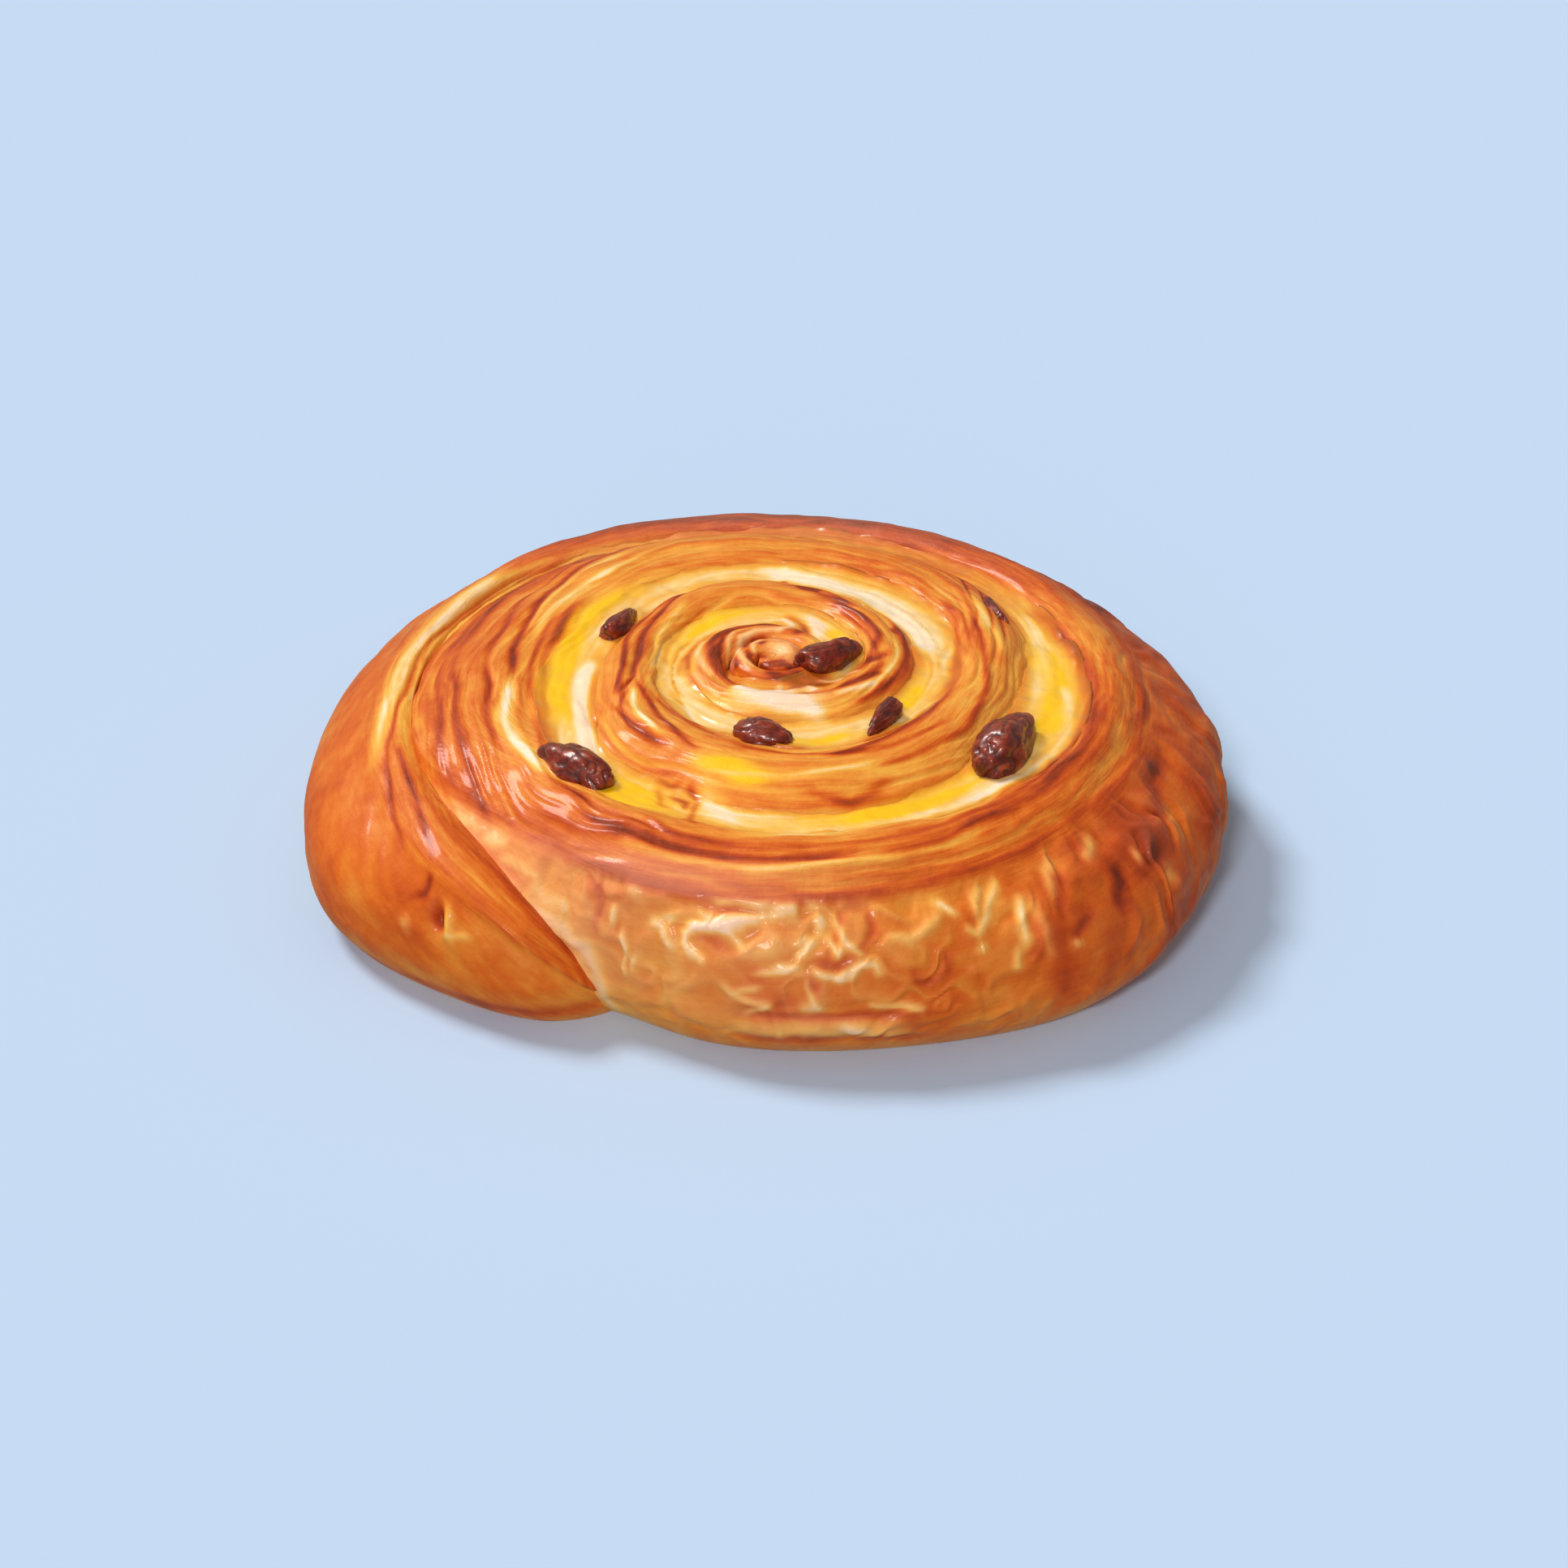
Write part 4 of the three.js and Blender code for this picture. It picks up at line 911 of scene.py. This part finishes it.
def lay_mesh(name, points, uv, spots, material, guides=False):
    """Makes a mesh of a grid whose rows close on themselves, and closes both its ends by a fan
    round their middle. A last point that is its row's first again is left out. With guides, the
    outermost column at either end only steered the shading and is left out too."""
    grids = {"points": points, "uv": uv, "normal": normals_of(points), **spots}
    if np.allclose(points[:, 0], points[:, -1], atol=1e-6):
        grids = {key: grid[:, :-1] for key, grid in grids.items()}
    if guides:
        grids = {key: grid[1:-1] for key, grid in grids.items()}
    points, uv, normal = (grids.pop(key) for key in ("points", "uv", "normal"))
    columns, rows = points.shape[:2]
    i, j = np.meshgrid(np.arange(columns - 1), np.arange(rows), indexing="ij")
    a, b = i * rows + j, i * rows + (j + 1) % rows
    quads = np.stack([a, a + rows, b + rows, b], axis=-1).reshape(-1, 4)
    ring = np.arange(rows)
    after = (ring + 1) % rows
    last = (columns - 1) * rows
    middle = columns * rows
    fans = np.concatenate([
        np.stack([ring, after, np.full(rows, middle)], axis=-1),
        np.stack([last + after, last + ring, np.full(rows, middle + 1)], axis=-1),
    ])
    corners = np.concatenate([quads.ravel(), fans.ravel()])
    sizes = np.concatenate([np.full(len(quads), 4), np.full(len(fans), 3)])

    def with_middles(grid):
        """The grid as a list, and after it the means of its first and last columns."""
        return np.concatenate([grid.reshape(middle, -1), [grid[0].reshape(rows, -1).mean(axis=0)],
                               [grid[-1].reshape(rows, -1).mean(axis=0)]])

    mesh = bpy.data.meshes.new(name)
    mesh.vertices.add(middle + 2)
    mesh.vertices.foreach_set("co", ((with_middles(points) + [*HEART, 0]) * MM).ravel())
    mesh.loops.add(len(corners))
    mesh.loops.foreach_set("vertex_index", corners.astype(np.int32))
    mesh.polygons.add(len(sizes))
    mesh.polygons.foreach_set("loop_start", (np.cumsum(sizes) - sizes).astype(np.int32))
    mesh.update(calc_edges=True)
    mesh.polygons.foreach_set("use_smooth", np.ones(len(sizes), bool))
    mesh.uv_layers.new(name="strip").data.foreach_set("uv", with_middles(uv)[corners].ravel())
    for key, grid in grids.items():
        layer = mesh.attributes.new(key, "FLOAT", "POINT")
        layer.data.foreach_set("value", with_middles(grid).ravel().astype(np.float32))
    if guides:
        caps = [[0, 0, 1], [0, 0, 1]]
        shading = np.concatenate([normal.reshape(-1, 3), caps])
        mesh.normals_split_custom_set_from_vertices(shading.tolist())
    mesh.validate()
    mesh.materials.append(material)
    piece = bpy.data.objects.new(name, mesh)
    bpy.context.collection.objects.link(piece)
    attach(piece, "root")
    return piece


# ---- finishes ----


def linear(code, alpha=1.0):
    """Turns an sRGB hex colour to linear light."""
    parts = [int(code[k : k + 2], 16) / 255 for k in (1, 3, 5)]
    light = [c / 12.92 if c <= 0.04045 else ((c + 0.055) / 1.055) ** 2.4 for c in parts]
    return (*light, alpha)


def node(tree, kind, feeds=None, stops=None, **settings):
    """Adds a node with its settings. Each feed is a value or another node's output, and stops
    are a ramp's places and colours."""
    made = tree.nodes.new(kind)
    for key, value in settings.items():
        setattr(made, key, value)
    for socket, source in (feeds or {}).items():
        if isinstance(source, bpy.types.NodeSocket):
            tree.links.new(source, made.inputs[socket])
        else:
            made.inputs[socket].default_value = source
    if stops:
        ramp = made.color_ramp
        while len(ramp.elements) < len(stops):
            ramp.elements.new(1)
        for element, (place, code) in zip(ramp.elements, stops):
            element.position = place
            element.color = linear(code)
    return made


def start_material(name):
    """An empty node material and its tree."""
    made = bpy.data.materials.new(name)
    made.use_nodes = True
    made.node_tree.nodes.clear()
    return made, made.node_tree


def varied(tree, level, pattern, amount):
    """The level plus the amount times how far the pattern lies from its middle, 0.5."""
    around = node(tree, "ShaderNodeMath", {0: pattern, 1: 0.5}, operation="SUBTRACT")
    made = node(tree, "ShaderNodeMath", {0: around.outputs[0], 1: amount, 2: level},
                operation="MULTIPLY_ADD")
    return made.outputs[0]


def crumb_colour(tree, level):
    """Colour of crumb and custard by browning: cream, gold, orange-brown, dark red-brown. Yellow
    places turn to egg yellow, and pale ones to a pinkish cream, partly the dough's own cream
    and partly painted highlight and sheen."""
    baked = node(tree, "ShaderNodeValToRGB", {0: level}, stops=[
        (0.0, "#fff0d8"), (0.16, "#fbdc9c"), (0.34, "#f2b94c"), (0.5, "#e79536"),
        (0.64, "#d96d1c"), (0.78, "#c04d12"), (0.9, "#a03a0e"), (1.0, "#782a0e"),
    ])
    colour = baked.outputs[0]
    # Pale places go to a pinkish cream: partly painted highlight and sheen.
    for spot, code in (("yellow", "#ffcb00"), ("pale", "#fbc9b2")):
        share = node(tree, "ShaderNodeAttribute", attribute_name=spot)
        mixed = node(tree, "ShaderNodeMix", {0: share.outputs["Fac"], 6: colour, 7: linear(code)},
                     data_type="RGBA")
        colour = mixed.outputs[2]
    return colour


def baked_dough():
    """Egg-washed laminated dough, baked: gold to red-brown by how much heat each layer caught,
    under a thin gloss of egg."""
    made, tree = start_material("egg_washed_laminated_dough")
    place = node(tree, "ShaderNodeTexCoord")
    # Streaks 0.6 mm across and 7 mm along the strip: the layers' own edges.
    laid = node(tree, "ShaderNodeMapping", {0: place.outputs["UV"], "Scale": (0.14, 1.6, 1)})
    streak = node(tree, "ShaderNodeTexNoise", {"Vector": laid.outputs[0], "Scale": 1.0, "Detail": 3.0,
                                               "Roughness": 0.6, "Distortion": 0.6})
    # Mottling of the crust, 2.5 mm and finer, and pores of 0.7 mm and finer.
    mottle = node(tree, "ShaderNodeTexNoise", {"Vector": place.outputs["Object"], "Scale": 400.0,
                                               "Detail": 5.0, "Roughness": 0.6})
    pores = node(tree, "ShaderNodeTexNoise", {"Vector": place.outputs["Object"], "Scale": 1500.0,
                                              "Detail": 3.0})
    bake = node(tree, "ShaderNodeAttribute", attribute_name="bake")
    wall = node(tree, "ShaderNodeAttribute", attribute_name="wall")
    # The wall's skin has closed over the layers, so they show less there.
    share = node(tree, "ShaderNodeMapRange", {0: wall.outputs["Fac"], 3: 0.28, 4: 0.1})
    level = varied(tree, bake.outputs["Fac"], streak.outputs[0], share.outputs[0])
    level = varied(tree, level, mottle.outputs[0], 0.22)
    rough = node(tree, "ShaderNodeMapRange", {0: mottle.outputs[0], 1: 0.3, 2: 0.7, 3: 0.4, 4: 0.6})
    away = node(tree, "ShaderNodeMapRange", {0: wall.outputs["Fac"], 3: 1.0, 4: 0.15})
    layers = node(tree, "ShaderNodeMath", {0: streak.outputs[0], 1: away.outputs[0]},
                  operation="MULTIPLY")
    # One relief on another: the layers, then the mottling, then the pores.
    below = {}
    for pattern, strength, depth in ((layers, 0.7, 0.2), (mottle, 0.6, 0.2), (pores, 0.5, 0.15)):
        bump = node(tree, "ShaderNodeBump", {"Strength": strength, "Distance": depth * MM,
                                             "Height": pattern.outputs[0], **below})
        below = {"Normal": bump.outputs[0]}
    shader = node(tree, "ShaderNodeBsdfPrincipled", {
        "Base Color": crumb_colour(tree, level), "Roughness": rough.outputs[0], **below,
        "IOR": 1.4, "Specular IOR Level": 0.3, "Coat Weight": 0.24, "Coat Roughness": 0.14,
        "Coat IOR": 1.4,
        "Subsurface Weight": 0.12, "Subsurface Radius": (1.0, 0.45, 0.2), "Subsurface Scale": 0.0015,
    })
    node(tree, "ShaderNodeOutputMaterial", {"Surface": shader.outputs[0]})
    return made


def baked_custard():
    """Baked custard: smooth, wet-looking and a little see-through, yellow to cream, with brown
    where its skin caught the heat."""
    made, tree = start_material("baked_egg_custard")
    place = node(tree, "ShaderNodeTexCoord")
    blot = node(tree, "ShaderNodeTexNoise", {"Vector": place.outputs["Object"], "Scale": 300.0,
                                             "Detail": 4.0, "Roughness": 0.55})
    bake = node(tree, "ShaderNodeAttribute", attribute_name="bake")
    colour = crumb_colour(tree, varied(tree, bake.outputs["Fac"], blot.outputs[0], 0.25))
    bump = node(tree, "ShaderNodeBump", {"Strength": 0.6, "Distance": 0.3 * MM,
                                         "Height": blot.outputs[0]})
    shader = node(tree, "ShaderNodeBsdfPrincipled", {
        "Base Color": colour, "Roughness": 0.32, "Normal": bump.outputs[0], "IOR": 1.42,
        "Coat Weight": 0.5, "Coat Roughness": 0.12, "Coat IOR": 1.42,
        "Subsurface Weight": 0.2, "Subsurface Radius": (1.0, 0.6, 0.2), "Subsurface Scale": 0.002,
    })
    node(tree, "ShaderNodeOutputMaterial", {"Surface": shader.outputs[0]})
    return made


def raisin_skin():
    """Raisin skin: dark, sugary and tight over folds, so each ridge takes a small highlight."""
    made, tree = start_material("wrinkled_raisin_skin")
    place = node(tree, "ShaderNodeTexCoord")
    bloom = node(tree, "ShaderNodeTexNoise", {"Vector": place.outputs["Object"], "Scale": 700.0,
                                              "Detail": 4.0})
    crease = node(tree, "ShaderNodeAttribute", attribute_name="crease")
    colour = node(tree, "ShaderNodeValToRGB", {0: bloom.outputs[0]}, stops=[
        (0.3, "#541009"), (0.5, "#7e220f"), (0.75, "#a84f2a"),
    ])
    # The dents are mixed toward near black: painted shade.
    colour = node(tree, "ShaderNodeMix", {0: crease.outputs["Fac"], 6: colour.outputs[0],
                                          7: linear("#360d0d")}, data_type="RGBA")
    bump = node(tree, "ShaderNodeBump", {"Strength": 0.7, "Distance": 0.15 * MM,
                                         "Height": bloom.outputs[0]})
    shader = node(tree, "ShaderNodeBsdfPrincipled", {
        "Base Color": colour.outputs[2], "Roughness": 0.4, "Normal": bump.outputs[0], "IOR": 1.45,
        "Coat Weight": 0.38, "Coat Roughness": 0.12,
    })
    node(tree, "ShaderNodeOutputMaterial", {"Surface": shader.outputs[0]})
    return made


def painted_board():
    """Matt paint on a smooth board, pale blue: it gives the eye an even ground."""
    made, tree = start_material("matt_pale_blue_paint")
    shader = node(tree, "ShaderNodeBsdfPrincipled", {
        "Base Color": linear("#bcd9fb"), "Roughness": 0.9, "Specular IOR Level": 0.0,
    })
    node(tree, "ShaderNodeOutputMaterial", {"Surface": shader.outputs[0]})
    return made


# ---- the bun ----

DOUGH = baked_dough()
CUSTARD = baked_custard()
RAISIN = raisin_skin()
# The strip in stretches, so that no mesh is too heavy: name, first turn and columns.
STRETCHES = [
    ("dough_heart", 0, 760), ("dough_inner_turn", 2.6, 780), ("dough_third_turn", 3.6, 780),
    ("dough_cut_edge", 4.3, 780), ("dough_front_wall", 4.66, 640), ("dough_right_wall", 4.87, 700),
    ("dough_back_wall", 5.16, 700), ("dough_tail", 5.42, 780),
]
ENDS = [row[1] for row in STRETCHES[1:]] + [STRIP_END]
for (name, start, columns), end in zip(STRETCHES, ENDS):
    stretch = dough_piece(name, start, end, columns, rows=120, material=DOUGH)
    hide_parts("dough")
filling = custard_piece("custard_filling", columns=1100, rows=44, material=CUSTARD)
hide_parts("custard")
for number, row in enumerate(RAISINS, start=1):
    berry = raisin_piece(f"raisin_{number}_skin", row, number, RAISIN)
    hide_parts(f"raisin_{number}")

# ---- the stage ----

bpy.ops.mesh.primitive_plane_add(size=8)
floor = bpy.context.object
floor.name = "floor"
floor.data.materials.append(painted_board())
# The board's blue is kept off the crust, as grey card round the bun would.
floor.visible_diffuse = False
floor.visible_glossy = False


def add_sun(name, strength, spread, aim, colour):
    """A far light of even strength, so that the floor stays one tone. aim is where it comes
    from, spread the angle that its disc fills."""
    lamp = bpy.data.lights.new(name, "SUN")
    lamp.energy = strength
    lamp.angle = math.radians(spread)
    lamp.color = linear(colour)[:3]
    holder = bpy.data.objects.new(name, lamp)
    holder.rotation_euler = Vector(aim).to_track_quat("Z", "Y").to_euler()
    bpy.context.collection.objects.link(holder)


# A window behind on the left, a pale wall in front of it, and light off the board.
add_sun("window_light", 2.05, 16, (-0.55, 0.42, 0.85), "#fffaf2")
add_sun("front_fill", 1.5, 11, (-0.25, -0.9, 0.72), "#ffece4")
add_sun("low_fill", 0.3, 40, (-0.1, -1, 0.16), "#ffe9dc")

world = bpy.data.worlds.new("room")
bpy.context.scene.world = world
world.use_nodes = True
world.node_tree.nodes["Background"].inputs[0].default_value = linear("#fff3e4")
world.node_tree.nodes["Background"].inputs[1].default_value = 0.32

# The camera stands straight in front. The lens is shifted by a few pixels of the picture.
PICTURE_WIDTH = 1932
SHIFT_X, SHIFT_Y = 21, -6
CAMERA_AWAY = 600 * MM
CAMERA_RISE = math.radians(30)
TARGET = Vector((0, -5, 12)) * MM
lens = bpy.data.cameras.new("camera")
lens.sensor_width = 36
lens.lens = 110.0
lens.shift_x = SHIFT_X / PICTURE_WIDTH
lens.shift_y = SHIFT_Y / PICTURE_WIDTH
camera = bpy.data.objects.new("camera", lens)
bpy.context.collection.objects.link(camera)
back_off = Vector((0, -math.cos(CAMERA_RISE), math.sin(CAMERA_RISE)))
camera.location = TARGET + back_off * CAMERA_AWAY
camera.rotation_euler = back_off.to_track_quat("Z", "Y").to_euler()
bpy.context.scene.camera = camera
bpy.context.scene.view_settings.view_transform = "Standard"
